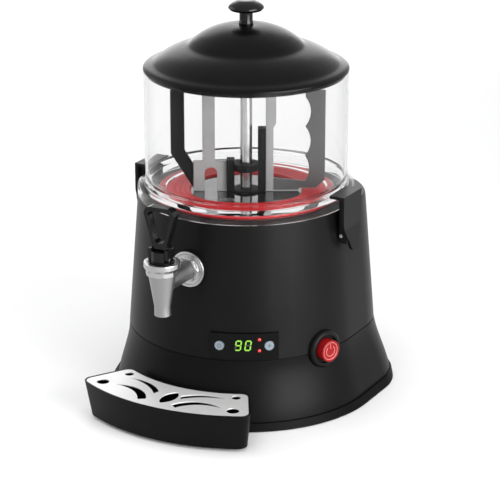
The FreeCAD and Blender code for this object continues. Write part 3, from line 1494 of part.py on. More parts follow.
def make_tap_fixings():
    """Flange and sealing washer in front of the shell, and the nut behind it."""
    wall_front = dim.flange_seat
    flange = place(cylinder("flange_disc", dim.flange_radius, dim.flange_thickness), 0,
                   -(wall_front + dim.washer_thickness), dim.tap_height, roll=90)
    boss = place(cylinder("flange_boss", dim.shank_radius + 3, dim.flange_thickness + dim.flange_step), 0,
                 -(wall_front + dim.washer_thickness), dim.tap_height, roll=90)
    hole = place(cylinder("flange_hole", dim.shank_radius, 3 * dim.flange_thickness), 0, -(wall_front - 1),
                 dim.tap_height, roll=90)
    node(cut("tap_flange", fuse("flange_parts", [flange, boss]), [hole]), "tap_flange")
    washer = place(cylinder("washer_disc", dim.nut_radius, dim.washer_thickness), 0, -wall_front,
                   dim.tap_height, roll=90)
    washer_hole = place(cylinder("washer_hole", dim.shank_radius, 3 * dim.washer_thickness), 0, 1 - wall_front,
                        dim.tap_height, roll=90)
    node(cut("tap_washer", washer, [washer_hole]), "tap_washer")
    nut = plate("nut_blank", ring_points(dim.nut_radius, 6), dim.nut_thickness, as_size(0))
    nut_back = wall_front - dim.pad_depth
    place(nut, 0, -(nut_back - dim.nut_thickness), dim.tap_height, roll=90)
    nut_hole = place(cylinder("nut_hole", dim.shank_radius, 3 * dim.nut_thickness), 0,
                     -(nut_back - 2 * dim.nut_thickness), dim.tap_height, roll=90)
    node(cut("tap_nut", nut, [nut_hole]), "tap_nut")


def make_bonnet():
    """Black bonnet with two flats, a bore for the stem and a spring pocket below."""
    flange_height = 3
    bottom = bonnet_seat
    stem = cylinder("bonnet_round", dim.bonnet_radius, dim.bonnet_top - bottom)
    sides = block("bonnet_sides", -dim.bonnet_width, dim.bonnet_width, bottom + flange_height, dim.bonnet_top,
                  3 * dim.bonnet_radius)
    neck = doc.addObject("Part::Common", "bonnet_neck")
    neck.Base = place(stem, 0, 0, bottom)
    neck.Tool = sides
    flange = place(cylinder("bonnet_flange", dim.bonnet_radius + 1.5, flange_height), 0, 0, bottom)
    pocket_radius = dim.spring_radius + 2
    bore = place(cylinder("bonnet_bore", dim.stem_radius + dim.running_fit, dim.bonnet_top), 0, 0, bottom - 1)
    spring_room = place(cylinder("bonnet_pocket", pocket_radius, dim.spring_pocket + 1), 0, 0, bottom - 1)
    pin_hole = place(cylinder("bonnet_pin_hole", dim.pivot_radius, 4 * dim.bonnet_width),
                     -2 * dim.bonnet_width, -dim.pivot_forward, dim.pivot_height, pitch=90)
    node(at_tap(cut("tap_bonnet", fuse("bonnet_parts", [neck, flange]), [bore, spring_room, pin_hole])), "tap_bonnet")
    pin = cylinder("lever_pin_rod", dim.pivot_radius, 2 * dim.ear_outer)
    place(pin, -dim.ear_outer, -(dim.tap_reach + dim.pivot_forward), dim.pivot_height, pitch=90)
    node(pin, "lever_pin")


def make_valve():
    """Stem with a soft plug that closes the seat."""
    plug = place(cylinder("valve_plug_disc", dim.seal_radius, dim.seal_height), 0, 0, plug_bottom)
    nose = doc.addObject("Part::Cone", "valve_nose")
    bind(nose, "Radius1", dim.spout_bore - 2)
    bind(nose, "Radius2", dim.spout_bore - dim.fit)
    bind(nose, "Height", dim.seal_nose)
    place(nose, 0, 0, plug_bottom - dim.seal_nose)
    socket = place(cylinder("valve_plug_bore", dim.stem_radius, 2 * dim.seal_height), 0, 0, plug_bottom)
    node(at_tap(cut("valve_plug", fuse("valve_plug_parts", [plug, nose]), [socket])), "valve_plug")
    stem = cylinder("valve_stem_rod", dim.stem_radius, dim.stem_top - plug_bottom)
    node(at_tap_height(stem, plug_bottom), "valve_stem")


def make_valve_spring():
    """Coil that presses the plug on its seat."""
    rise = spring_top - plug_top - 2 * dim.spring_wire
    helix = doc.addObject("Part::Helix", "spring_path")
    bind(helix, "Radius", dim.spring_radius)
    bind(helix, "Height", rise)
    bind(helix, "Pitch", rise / 7)
    wire = doc.addObject("Part::Circle", "spring_section")
    bind(wire, "Radius", dim.spring_wire)
    place(wire, dim.spring_radius, 0, 0, roll=90)
    coil = doc.addObject("Part::Sweep", "spring_coil")
    coil.Sections = [wire]
    coil.Spine = (helix, [])
    coil.Solid = True
    coil.Frenet = True
    node(at_tap_height(coil, plug_top + dim.spring_wire), "valve_spring")


def make_lever():
    """Black loop lever: two ears on the pivot, a waist and a wide loop for the fingers."""
    body = new_body("lever_solid")
    half = dim.lever_half_width
    corner = dim.lever_top - dim.lever_shoulder
    frame = dim.lever_frame
    profile = outline(sketch_on(body, "lever_outline", "XZ_Plane"), [
        (-dim.ear_outer, dim.bonnet_top + 2),
        (dim.ear_outer, dim.bonnet_top + 2),
        (dim.lever_waist, dim.lever_neck),
        (dim.lever_waist, dim.lever_waist_height),
        (half, dim.lever_shoulder, corner, 1),
        (half - corner, dim.lever_top),
        (corner - half, dim.lever_top, corner, 1),
        (-half, dim.lever_shoulder),
        (-dim.lever_waist, dim.lever_waist_height),
        (-dim.lever_waist, dim.lever_neck),
    ])
    pad(body, profile, dim.lever_depth, both=True)
    window_bottom = dim.lever_waist_height + 4
    inner_corner = corner - 3
    window = outline(sketch_on(body, "lever_window", "XZ_Plane"), [
        (-(dim.lever_waist - frame / 2), window_bottom, dim.lever_waist, 1),
        (dim.lever_waist - frame / 2, window_bottom),
        (half - frame, dim.lever_shoulder - inner_corner / 2, inner_corner, 1),
        (half - frame - inner_corner, dim.lever_top - frame),
        (inner_corner + frame - half, dim.lever_top - frame, inner_corner, 1),
        (frame - half, dim.lever_shoulder - inner_corner / 2),
    ])
    pocket(body, window, 2 * dim.lever_depth, both=True)
    parts = [body]
    pin_holes = []
    for side in (-1, 1):
        middle = side * (dim.ear_inner + dim.ear_outer) / 2
        width = dim.ear_outer - dim.ear_inner
        ear = centred_box(f"lever_ear_{side + 1}", width, dim.ear_depth, dim.lever_neck - dim.pivot_height,
                          x=middle, y=dim.ear_depth / 2 - dim.pivot_forward - dim.ear_round, z=dim.pivot_height)
        eye = cylinder(f"lever_eye_{side + 1}", dim.ear_round, width)
        place(eye, middle - width / 2, -dim.pivot_forward, dim.pivot_height, pitch=90)
        parts.extend([ear, eye])
        hole = cylinder(f"ear_hole_{side + 1}", dim.pivot_radius + dim.running_fit, dim.ear_outer)
        pin_holes.append(place(hole, middle - dim.ear_outer / 2, -dim.pivot_forward, dim.pivot_height, pitch=90))
    node(at_tap(cut("lever_drilled", fuse("lever_parts", parts), pin_holes)), "tap_lever")


# ---------------------------------------------------------------- bowl clips
def make_clip(side, name):
    """Hook clip: a top plate over the bowl's shoulder, an outer shield and two ribs on the pivot."""
    out = dim.clip_outer
    drop = dim.clip_top - dim.clip_plate
    body = new_body(name + "_profile_body")
    profile = outline(sketch_on(body, name + "_profile", "XZ_Plane"), [
        (side * dim.clip_inner, dim.clip_top),
        (side * dim.clip_inner, drop),
        (side * (out - dim.clip_shield), drop),
        (side * (out - dim.clip_shield), dim.clip_taper),
        (side * (out - dim.clip_shield + dim.clip_flare), dim.clip_bottom),
        (side * (out + dim.clip_flare), dim.clip_bottom),
        (side * out, dim.clip_taper),
        (side * out, dim.clip_top),
    ])
    pad(body, profile, dim.clip_width, both=True)
    half = dim.clip_width / 2
    shield_face = new_body(name + "_shield_face")
    round_bottom = dim.clip_bottom + half / 2
    face = outline(sketch_on(shield_face, name + "_face", "YZ_Plane"), [
        (-half, dim.clip_top + 1),
        (-half, dim.clip_taper + half / 3, 3 * half, 1),
        (-(half / 2), round_bottom, half / 2, 1),
        (0, dim.clip_bottom, half / 2, 1),
        (half / 2, round_bottom, 3 * half, 1),
        (half, dim.clip_taper + half / 3),
        (half, dim.clip_top + 1),
    ])
    pad(shield_face, face, 3 * out, both=True)
    trimmed = doc.addObject("Part::Common", name + "_trimmed")
    trimmed.Base = body
    trimmed.Tool = shield_face
    parts = [trimmed]
    pivot = dim.clip_pivot_out
    inside = out - dim.clip_shield / 2
    lean = dim.clip_flare * (dim.clip_taper - dim.clip_rib_bottom) / (dim.clip_taper - dim.clip_bottom)
    holes = []
    for end in (-1, 1):
        y = end * (dim.clip_rib_place + dim.clip_rib / 2)
        rib = upright(f"{name}_rib_{end + 1}", [
            (side * (pivot - dim.clip_rib_reach), dim.clip_pivot_height),
            (side * pivot, dim.clip_rib_bottom),
            (side * (inside + lean), dim.clip_rib_bottom),
            (side * inside, dim.clip_taper),
            (side * inside, dim.clip_top - dim.clip_plate / 2),
            (side * (pivot - dim.clip_rib_reach), dim.clip_top - dim.clip_plate / 2),
        ], dim.clip_rib)
        eye = cylinder(f"{name}_eye_{end + 1}", dim.clip_rib_reach + dim.fit, dim.clip_rib)
        place(eye, side * pivot, y + dim.clip_rib / 2, dim.clip_pivot_height, roll=90)
        parts.extend([place(rib, y=y), eye])
    hole = cylinder(name + "_pin_hole", dim.clip_pin_radius + dim.running_fit, 2 * dim.clip_width)
    holes.append(place(hole, side * dim.clip_pivot_out, dim.clip_width, dim.clip_pivot_height, roll=90))
    node(cut(name + "_drilled", fuse(name + "_parts", parts), holes), name)


def make_clip_pins():
    pins = []
    length = 2 * (dim.clip_rib_place + dim.clip_rib) + 1
    for side in (-1, 1):
        pin = cylinder(f"clip_pin_{side + 1}", dim.clip_pin_radius, length)
        pins.append(place(pin, side * dim.clip_pivot_out, length / 2, dim.clip_pivot_height, roll=90))
    node(group("pin_set", pins), "clip_pins")


# ---------------------------------------------------------------- drip tray
tray_levels_top = (dim.tray_inner, dim.tray_outer, dim.tray_sweep)
tray_levels_foot = (dim.tray_foot_inner, dim.tray_foot_outer, dim.tray_foot_sweep)


def tray_sketch(body, name, height, level, inset):
    """The tray's outline at one height, drawn in by an inset."""
    inner, outer, sweep = level
    turn_in = inset * 57.3 / ((inner + outer) / 2)
    points = sector(inner + inset, outer - inset, sweep - turn_in, dim.tray_corner - inset)
    return outline(sketch_on(body, name, "XY_Plane", height), points)


def make_drip_tray():
    """Tapered tray with a rebate for its grille and two tongues that go into the base."""
    body = new_body("tray_pan")
    none = as_size(0)
    loft(body, [tray_sketch(body, "tray_foot", dim.tray_bottom, tray_levels_foot, none),
                tray_sketch(body, "tray_rim", dim.tray_top, tray_levels_top, none)], ruled=True)
    cavity_top = dim.tray_top - dim.rebate_depth
    loft(body, [tray_sketch(body, "cavity_foot", dim.tray_bottom + dim.tray_floor, tray_levels_foot, dim.tray_wall),
                tray_sketch(body, "cavity_rim", cavity_top, tray_levels_top, dim.tray_wall)],
         subtract=True, ruled=True)
    rebate = tray_sketch(body, "grille_rebate", dim.tray_top, tray_levels_top, dim.rebate)
    pocket(body, rebate, dim.rebate_depth)
    parts = [body]
    for side in (-1, 1):
        back = dim.tray_inner + dim.wall / 2
        length = back - dim.tongue_reach
        tongue = centred_box(f"tongue_{side + 1}", dim.tongue_width, length, dim.tongue_thickness,
                             x=side * dim.tongue_place, y=-(dim.tongue_reach + length / 2), z=dim.tongue_height)
        parts.append(tongue)
    node(fuse("tray_whole", parts), "drip_tray")


def curved_slot(name, corners, bottom, tall):
    """A slot with curved sides. A corner is (radius, angle) in plan, and (bulge, side) before an arc."""
    points = []
    for radius, angle, *bulge in corners:
        turn = as_size(angle)
        points.append((radius * sine(turn), -(radius * cosine(turn)), *bulge))
    body = new_body(name)
    outline(sketch_on(body, name + "_outline", "XY_Plane", bottom), points)
    pad(body, body.Group[0], tall)
    return body


def make_grille():
    """Steel plate with round holes in its corners, two pairs of curved slots and a leaf in the middle."""
    blank = new_body("grille_blank")
    bottom = dim.tray_top - dim.rebate_depth + dim.running_fit
    pad(blank, tray_sketch(blank, "grille_outline", bottom, tray_levels_top, dim.rebate + dim.fit),
        dim.grille_thickness)
    tall = dim.grille_thickness + 2
    below = bottom - 1
    middle = (dim.tray_inner + dim.tray_outer) / 2
    spread = middle / dim.grille_pattern
    holes = []
    for side in (-1, 1):
        inner_hole = cylinder(f"inner_hole_{side + 1}", 5.2, tall)
        turn = as_size(side * 25.2)
        near = dim.tray_inner + 12.2
        holes.append(place(inner_hole, near * sine(turn), -(near * cosine(turn)), below))
        outer_hole = cylinder(f"outer_hole_{side + 1}", 7.2, tall)
        far = dim.tray_outer - 17
        turn = as_size(side * 24.9)
        holes.append(place(outer_hole, far * sine(turn), -(far * cosine(turn)), below))
        holes.append(curved_slot(f"inner_slot_{side + 1}", [
            (middle - 14.4, side * 22.2, 48.6 * spread, side),
            (middle - 9.2, side * 4.7),
            (middle - 1.2, side * 5.2, 67.7 * spread, -side),
        ], below, as_size(tall)))
        holes.append(curved_slot(f"outer_slot_{side + 1}", [
            (middle + 10.4, side * 21, 36.5 * spread, side),
            (middle + 15.8, side * 4.8),
            (middle + 21.9, side * 6.8, 41.8 * spread, -side),
        ], below, as_size(tall)))
    holes.append(curved_slot("leaf", [
        (middle - 17.5, 2, 22 * spread, -1),
        (middle + 16.7, 0.8, 22 * spread, -1),
    ], below, as_size(tall)))
    node(cut("grille", blank, holes), "tray_grille")


# ---------------------------------------------------------------- build and export
make_base_plate()
make_feet()
make_base_screws()
make_lower_housing()
make_upper_housing()
make_control_panel()
make_display()
make_indicators()
make_control_board()
make_power_switch()
make_mains_inlet()
make_water_tank()
make_floor_pan()
make_gasket()
make_heating_element()
make_probe()
make_outlet_pipe()
make_support_frame()
make_gear_motor()
make_column()
make_drive_shaft()
make_bowl()
make_stirrer_hub()
make_left_web()
make_left_blade()
make_right_bar()
make_right_paddle()
make_drive_cap()
make_lid()
make_knob()
make_tap_body()
make_tap_collar()
make_tap_fixings()
make_bonnet()
make_valve()
make_valve_spring()
make_lever()
make_clip(-1, "clip_left")
make_clip(1, "clip_right")
make_clip_pins()
make_drip_tray()
make_grille()
doc.recompute()

for obj in doc.Objects:
    if "Invalid" in obj.State or "Error" in obj.State:
        raise RuntimeError(f"{obj.Label}: {obj.State}")
for part in nodes:
    if part.Shape.isNull() or not part.Shape.isValid():
        raise RuntimeError(f"{part.Label}: the shape is not valid")

os.makedirs("parts", exist_ok=True)
for part in nodes:
    part.Shape.exportStep(f"parts/{part.Label}.step")
print(len(nodes), "sub-parts written")
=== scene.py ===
import json
import math

import bmesh
import bpy
import numpy as np
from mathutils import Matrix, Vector


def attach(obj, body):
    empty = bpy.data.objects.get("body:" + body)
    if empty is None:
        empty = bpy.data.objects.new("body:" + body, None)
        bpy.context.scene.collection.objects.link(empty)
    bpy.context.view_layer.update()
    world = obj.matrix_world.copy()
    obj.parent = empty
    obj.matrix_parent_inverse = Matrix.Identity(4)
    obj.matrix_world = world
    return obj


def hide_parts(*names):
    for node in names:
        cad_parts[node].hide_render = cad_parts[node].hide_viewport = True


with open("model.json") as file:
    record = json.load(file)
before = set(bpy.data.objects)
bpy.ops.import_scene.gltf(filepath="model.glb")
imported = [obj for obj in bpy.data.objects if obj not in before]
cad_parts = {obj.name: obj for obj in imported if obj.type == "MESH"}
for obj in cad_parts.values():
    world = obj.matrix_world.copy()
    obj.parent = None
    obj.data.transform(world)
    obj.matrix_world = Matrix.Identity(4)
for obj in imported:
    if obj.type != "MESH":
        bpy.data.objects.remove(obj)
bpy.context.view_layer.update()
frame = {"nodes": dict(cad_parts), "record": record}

# Hot chocolate dispenser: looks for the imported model. Lengths in the dictionaries are in mm.
mm = 0.001
print("frame loaded:", len(frame["nodes"]), "nodes")


# A socket that can be added, multiplied and so on, so shader maths reads as plain expressions.
class Wire:
    def __init__(self, finish, socket):
        self.finish, self.socket = finish, socket

    def maths(self, operation, first, second=0.0):
        return self.finish.node("ShaderNodeMath", {"operation": operation}, {0: first, 1: second})

    def __add__(self, other):
        return self.maths("ADD", self, other)

    def __radd__(self, other):
        return self.maths("ADD", other, self)

    def __sub__(self, other):
        return self.maths("SUBTRACT", self, other)

    def __mul__(self, other):
        return self.maths("MULTIPLY", self, other)

    def __gt__(self, other):
        return self.maths("GREATER_THAN", self, other)

    def __lt__(self, other):
        return self.maths("LESS_THAN", self, other)


# One material, or the world, and its nodes.
class Finish:
    def __init__(self, name, world=None):
        self.material = world or bpy.data.materials.new(name)
        self.material.use_nodes = True
        self.tree = self.material.node_tree
        self.tree.nodes.clear()

    def node(self, kind, settings=None, sockets=None, output=0):
        made = self.tree.nodes.new(kind)
        for key, value in (settings or {}).items():
            if key == "stops":
                ramp = made.color_ramp
                while len(ramp.elements) < len(value):
                    ramp.elements.new(0.5)
                for element, (position, grey) in zip(ramp.elements, value):
                    element.position = position
                    element.color = (grey, grey, grey, 1)
            else:
                setattr(made, key, value)
        for key, value in (sockets or {}).items():
            if isinstance(value, Wire):
                self.tree.links.new(value.socket, made.inputs[key])
            else:
                made.inputs[key].default_value = value
        return Wire(self, made.outputs[output]) if made.outputs else made

    # object coordinates, moved so that a centre lies at zero, then turned, then stretched
    def place(self, centre=(0, 0, 0), turn=(0, 0, 0), stretch=(1, 1, 1)):
        point = self.node("ShaderNodeTexCoord", output="Object")
        if any(centre):
            point = self.node("ShaderNodeVectorMath", {"operation": "SUBTRACT"}, {0: point, 1: centre})
        if any(turn):
            point = self.node("ShaderNodeMapping", None, {"Vector": point, "Rotation": turn})
        if tuple(stretch) != (1, 1, 1):
            point = self.node("ShaderNodeVectorMath", {"operation": "MULTIPLY"}, {0: point, 1: stretch})
        return point

    def noise(self, point, scale, detail=3, rough=0.5):
        return self.node("ShaderNodeTexNoise", None,
                         {"Vector": point, "Scale": scale, "Detail": detail, "Roughness": rough})

    def ramp(self, value, stops):
        return self.node("ShaderNodeValToRGB", {"stops": stops}, {"Fac": value})

    def mix(self, mask, first, second):
        return self.node("ShaderNodeMix", {"data_type": "RGBA"}, {0: mask, 6: first, 7: second}, output=2)

    def bump(self, height, distance):
        return self.node("ShaderNodeBump", None, {"Height": height, "Distance": distance * mm, "Strength": 1.0})

    def shader(self, **sockets):
        names = {"colour": "Base Color", "rough": "Roughness", "metal": "Metallic", "coat": "Coat Weight",
                 "coatRough": "Coat Roughness", "ior": "IOR", "clear": "Transmission Weight",
                 "normal": "Normal", "specular": "Specular IOR Level", "glow": "Emission Color",
                 "glowStrength": "Emission Strength", "soft": "Subsurface Weight",
                 "softScale": "Subsurface Scale"}
        inputs = {names[key]: value for key, value in sockets.items()}
        return self.node("ShaderNodeBsdfPrincipled", None, inputs)

    def surface(self, shader):
        self.node("ShaderNodeOutputMaterial", None, {"Surface": shader})
        return self

    # 1 for rays from the camera, off gloss or through clear parts, and 0 for all others
    def seen(self):
        outputs = self.node("ShaderNodeLightPath").socket.node.outputs
        camera, gloss, clear = (Wire(self, outputs[name]) for name in
                                ("Is Camera Ray", "Is Glossy Ray", "Is Transmission Ray"))
        return camera + gloss + clear


def grey(level):
    return (level, level, level, 1)


# Where noise turns from one colour to the next
rampStops = {"patches": [(0.3, 0), (0.75, 1)], "streaks": [(0.25, 0), (0.75, 1)], "stains": (0.45, 0.8),
             "tracks": [(0.42, 0), (0.46, 1)]}


# Moulded plastic: a fine pebble grain in the bump, slow patches in the gloss, and a little dust in the colour.
def mouldedPlastic(name, values):
    finish = Finish(name)
    point = finish.place()
    grain = finish.noise(point, values["grainScale"])
    patches = finish.noise(point, values["patchScale"], 4, 0.6)
    colour = finish.mix(finish.ramp(patches, rampStops["patches"]), values["colour"], values["patchColour"])
    rough = values["rough"] + (patches - 0.5) * values["patchRough"] + (grain - 0.5) * values["grainRough"]
    more = {key: values[key] for key in ("specular", "coat", "coatRough", "soft", "softScale") if key in values}
    normal = finish.bump(grain, values["grainDepth"])
    return finish.surface(finish.shader(colour=colour, rough=rough, normal=normal, **more))


# Brushed metal: noise stretched along the brushing, in the colour, the gloss and the bump. On the column, the
# stretched streaks in the colour are painted reflections.
def brushedMetal(name, values):
    finish = Finish(name)
    streaks = finish.noise(finish.place(stretch=values["along"]), values["scale"], 4, 0.65)
    patches = finish.noise(finish.place(), values["patchScale"])
    colour = finish.mix(finish.ramp(streaks, rampStops["streaks"]), values["colour"], values["streakColour"])
    stainFrom, stainTo = rampStops["stains"]
    stains = finish.ramp(patches, [(stainFrom, 0), (stainTo, values["stain"])])
    colour = finish.mix(stains, colour, values["stainColour"])
    rough = values["rough"] + (streaks - 0.5) * values["streakRough"] + (patches - 0.5) * values["patchRough"]
    return finish.surface(finish.shader(colour=colour, metal=values.get("metal", 1.0), rough=rough,
                                        normal=finish.bump(streaks, values["depth"])))


# Turned metal: fine rings round an axis, from the distance to it, with noise that breaks them up.
def turnedMetal(name, values):
    finish = Finish(name)
    point = finish.place(values["centre"], values.get("turn", (0, 0, 0)))
    height = finish.node("ShaderNodeSeparateXYZ", None, {"Vector": point}, output="Z")
    rings = finish.node("ShaderNodeMath", {"operation": "SINE"},
                        {0: height * (2 * math.pi / (values["pitch"] * mm))})
    broken = finish.noise(point, values["scale"])
    streaks = (rings * 0.5 + 0.5) * broken
    colour = finish.mix(streaks, values["colour"], values["streakColour"])
    rough = values["rough"] + streaks * values["streakRough"] + (broken - 0.5) * values["patchRough"]
    return finish.surface(finish.shader(colour=colour, metal=1.0, rough=rough,
                                        normal=finish.bump(streaks, values["depth"])))


# Clear plastic: a little darker where it is seen edge on, a painted shade for what its edges refract and
# reflect. Light goes straight through it for shadows.
def clearPlastic(name, values):
    finish = Finish(name)
    haze = finish.noise(finish.place(), values["hazeScale"])
    rough = values["rough"] + haze * values["hazeRough"]
    # painted shade: the tint turns darker towards the edge colour where the surface is seen edge on
    edge = finish.ramp(finish.node("ShaderNodeLayerWeight", None, {"Blend": 0.5}, output="Facing"),
                       [(values["edgeFrom"], 0), (1, 1)])
    colour = finish.mix(edge, finish.mix(haze, values["colour"], values["hazeColour"]), values["edgeColour"])
    glass = finish.shader(colour=colour, rough=rough, clear=1.0, ior=values["ior"])
    through = finish.node("ShaderNodeBsdfTransparent", None, {"Color": values["shadow"]})
    shadow = finish.node("ShaderNodeLightPath", output="Is Shadow Ray")
    return finish.surface(finish.node("ShaderNodeMixShader", None, {0: shadow, 1: glass, 2: through}))


# Lit plastic: an even glow, with a fine grain in the glow and the gloss.
def litPlastic(name, values):
    finish = Finish(name)
    grain = finish.noise(finish.place(), values["grainScale"], 2)
    glow = finish.mix(grain, values["glow"], values["glowDim"])
    rough = values["rough"] + (grain - 0.5) * values["grainRough"]
    return finish.surface(finish.shader(colour=values["colour"], rough=rough, glow=glow,
                                        glowStrength=values["strength"]))


print("finishes")
# What the plastics share, and what each changes
plainPlastic = {"patchRough": 0.1, "grainScale": 1500, "grainRough": 0.06, "grainDepth": 0.01, "rough": 0.36}
plasticValues = {
    "housing": {"colour": grey(0.003), "patchColour": grey(0.004), "patchRough": 0.08, "patchScale": 14,
                "specular": 0.058},
    "lidBlack": {"colour": grey(0.002), "patchColour": grey(0.003), "rough": 0.27, "patchRough": 0.08,
                 "grainScale": 1800, "grainRough": 0.05, "grainDepth": 0.006, "patchScale": 20,
                 "specular": 0.08},
    "glossBlack": {"colour": grey(0.003), "patchColour": grey(0.004), "rough": 0.12, "patchRough": 0.06,
                   "grainScale": 2400, "grainRough": 0.03, "grainDepth": 0.003, "patchScale": 40,
                   "specular": 0.2},
    "panelBlack": {"colour": grey(0.003), "patchColour": grey(0.004), "rough": 0.16, "patchRough": 0.05,
                   "grainScale": 2400, "grainRough": 0.02, "grainDepth": 0.002, "patchScale": 40,
                   "specular": 0.07},
    "satinBlack": {"colour": grey(0.004), "patchColour": grey(0.006), "grainScale": 1700, "grainRough": 0.08,
                   "patchScale": 25, "specular": 0.09},
    "trayBlack": {"colour": grey(0.003), "patchColour": grey(0.004), "patchRough": 0.08, "grainRough": 0.08,
                  "grainDepth": 0.012, "patchScale": 16, "specular": 0.07},
    "hubBlack": {"colour": grey(0.003), "patchColour": grey(0.004), "rough": 0.45, "patchScale": 40,
                 "specular": 0.03},
    "footRubber": {"colour": grey(0.02), "patchColour": grey(0.03), "rough": 0.8, "grainScale": 900,
                   "grainRough": 0.1, "grainDepth": 0.03, "patchScale": 60, "specular": 0.3},
    "redSilicone": {"colour": (0.42, 0.012, 0.016, 1), "patchColour": (0.5, 0.022, 0.028, 1), "rough": 0.42,
                    "grainScale": 1100, "patchScale": 30, "soft": 0.25, "softScale": 0.003, "specular": 0.2},
    "whiteRubber": {"colour": grey(0.68), "patchColour": grey(0.6), "rough": 0.6, "grainScale": 1200,
                    "grainRough": 0.08, "patchScale": 60, "specular": 0.35},
    "switchRed": {"colour": (0.2, 0.004, 0.006, 1), "patchColour": (0.27, 0.009, 0.01, 1), "rough": 0.22,
                  "patchRough": 0.08, "grainScale": 1600, "grainRough": 0.04, "grainDepth": 0.004,
                  "patchScale": 90, "soft": 0.1, "softScale": 0.003, "coat": 0.1, "coatRough": 0.1,
                  "specular": 0.15},
    "barGrey": {"colour": grey(0.23), "patchColour": grey(0.27), "grainDepth": 0.008, "patchScale": 24},
    "paddleGrey": {"colour": grey(0.05), "patchColour": grey(0.061), "rough": 0.4, "grainDepth": 0.008,
                   "patchScale": 24},
    "webGrey": {"colour": grey(0.19), "patchColour": grey(0.26), "rough": 0.4, "grainDepth": 0.008,
                "patchScale": 24},
    "signPale": {"colour": (0.52, 0.14, 0.12, 1), "patchColour": (0.44, 0.1, 0.09, 1), "rough": 0.35,
                 "patchRough": 0.08, "grainRough": 0.04, "grainDepth": 0.003, "patchScale": 200},
}
plasticValues["upperHousing"] = {**plasticValues["housing"], "specular": 0.085}
metalValues = {
    # Column: its tall dark and pale streaks in the colour are painted reflections, standing in for what the
    # chrome mirrors.
    "columnSteelPaintedReflections": {"colour": grey(0.16), "streakColour": grey(0.72), "stainColour": grey(0.24), "stain": 0.2,
                    "rough": 0.16, "streakRough": 0.1, "patchRough": 0.05, "along": (1, 1, 0.01), "scale": 330,
                    "patchScale": 20, "depth": 0.002},
    "grilleSteel": {"colour": grey(0.63), "streakColour": grey(0.72), "stainColour": grey(0.54), "stain": 0.25,
                    "rough": 0.56, "streakRough": 0.14, "patchRough": 0.1, "along": (0.04, 1, 1), "scale": 900,
                    "patchScale": 25, "depth": 0.004, "metal": 0.6},
    "sheetSteel": {"colour": grey(0.5), "streakColour": grey(0.62), "stainColour": grey(0.4), "stain": 0.3,
                   "rough": 0.32, "streakRough": 0.2, "patchRough": 0.1, "along": (0.05, 1, 1), "scale": 700,
                   "patchScale": 20, "depth": 0.006},
    "panSteel": {"colour": grey(0.24), "streakColour": grey(0.3), "stainColour": grey(0.2), "stain": 0.2,
                 "rough": 0.1, "streakRough": 0.06, "patchRough": 0.05, "along": (0.05, 1, 1), "scale": 500,
                 "patchScale": 20, "depth": 0.001},
    "brass": {"colour": (0.6, 0.42, 0.16, 1), "streakColour": (0.72, 0.53, 0.22, 1),
              "stainColour": (0.4, 0.26, 0.1, 1), "stain": 0.4, "rough": 0.28, "streakRough": 0.2,
              "patchRough": 0.1, "along": (1, 1, 0.1), "scale": 900, "patchScale": 60, "depth": 0.004},
    "motorSteel": {"colour": grey(0.3), "streakColour": grey(0.38), "stainColour": grey(0.2), "stain": 0.4,
                   "rough": 0.42, "streakRough": 0.15, "patchRough": 0.1, "along": (1, 1, 0.2), "scale": 500,
                   "patchScale": 40, "depth": 0.01},
    "pinSteel": {"colour": grey(0.55), "streakColour": grey(0.66), "stainColour": grey(0.4), "stain": 0.2,
                 "rough": 0.25, "streakRough": 0.15, "patchRough": 0.1, "along": (1, 0.1, 1), "scale": 1500,
                 "patchScale": 90, "depth": 0.003},
}
turnedValues = {
    "tapSteel": {"centre": (0, -0.189, 0), "pitch": 0.8, "scale": 500, "colour": grey(0.25),
                 "streakColour": grey(0.31), "rough": 0.34, "streakRough": 0.12, "patchRough": 0.12,
                 "depth": 0.003},
    "collarSteel": {"centre": (0, -0.189, 0), "pitch": 0.9, "scale": 600, "colour": grey(0.36),
                    "streakColour": grey(0.43), "rough": 0.22, "streakRough": 0.1, "patchRough": 0.1,
                    "depth": 0.002},
    "flangeSteel": {"centre": (0, -0.139, 0.181), "turn": (math.pi / 2, 0, 0), "pitch": 0.7, "scale": 500,
                    "colour": grey(0.36), "streakColour": grey(0.44), "rough": 0.26, "streakRough": 0.12,
                    "patchRough": 0.1, "depth": 0.003},
}
finishes = {name: mouldedPlastic(name, {**plainPlastic, **values}) for name, values in plasticValues.items()}
finishes.update({name: brushedMetal(name, values) for name, values in metalValues.items()})
finishes.update({name: turnedMetal(name, values) for name, values in turnedValues.items()})
finishes["bowlClear"] = clearPlastic("bowlClear", {
    "colour": (0.955, 0.955, 0.955, 1), "hazeColour": (0.94, 0.94, 0.942, 1), "rough": 0.0, "hazeRough": 0.01,
    # the edge colour is painted shade for the bowl's edges
    "edgeColour": (0.72, 0.72, 0.73, 1), "edgeFrom": 0.55, "hazeScale": 30, "ior": 1.16,
    "shadow": (0.95, 0.95, 0.95, 1)})
finishes["litDigit"] = litPlastic("litDigit", {
    "colour": (0.1, 0.3, 0.02, 1), "glow": (0.34, 0.6, 0.05, 1), "glowDim": (0.24, 0.48, 0.035, 1),
    "rough": 0.3, "strength": 0.62, "grainScale": 900, "grainRough": 0.1})
# Unlit segments: a faint painted glow, though they give no light.
finishes["unlitDigitPaintedGlow"] = litPlastic("unlitDigitPaintedGlow", {
    "colour": (0.02, 0.022, 0.018, 1), "glow": (0.012, 0.014, 0.01, 1), "glowDim": (0.008, 0.01, 0.007, 1),
    "rough": 0.3, "strength": 1.0, "grainScale": 900, "grainRough": 0.1})
finishes["litLamp"] = litPlastic("litLamp", {
    "colour": (0.4, 0.01, 0.01, 1), "glow": (0.85, 0.06, 0.04, 1), "glowDim": (0.6, 0.02, 0.02, 1),
    "rough": 0.25, "strength": 0.9, "grainScale": 700, "grainRough": 0.1})


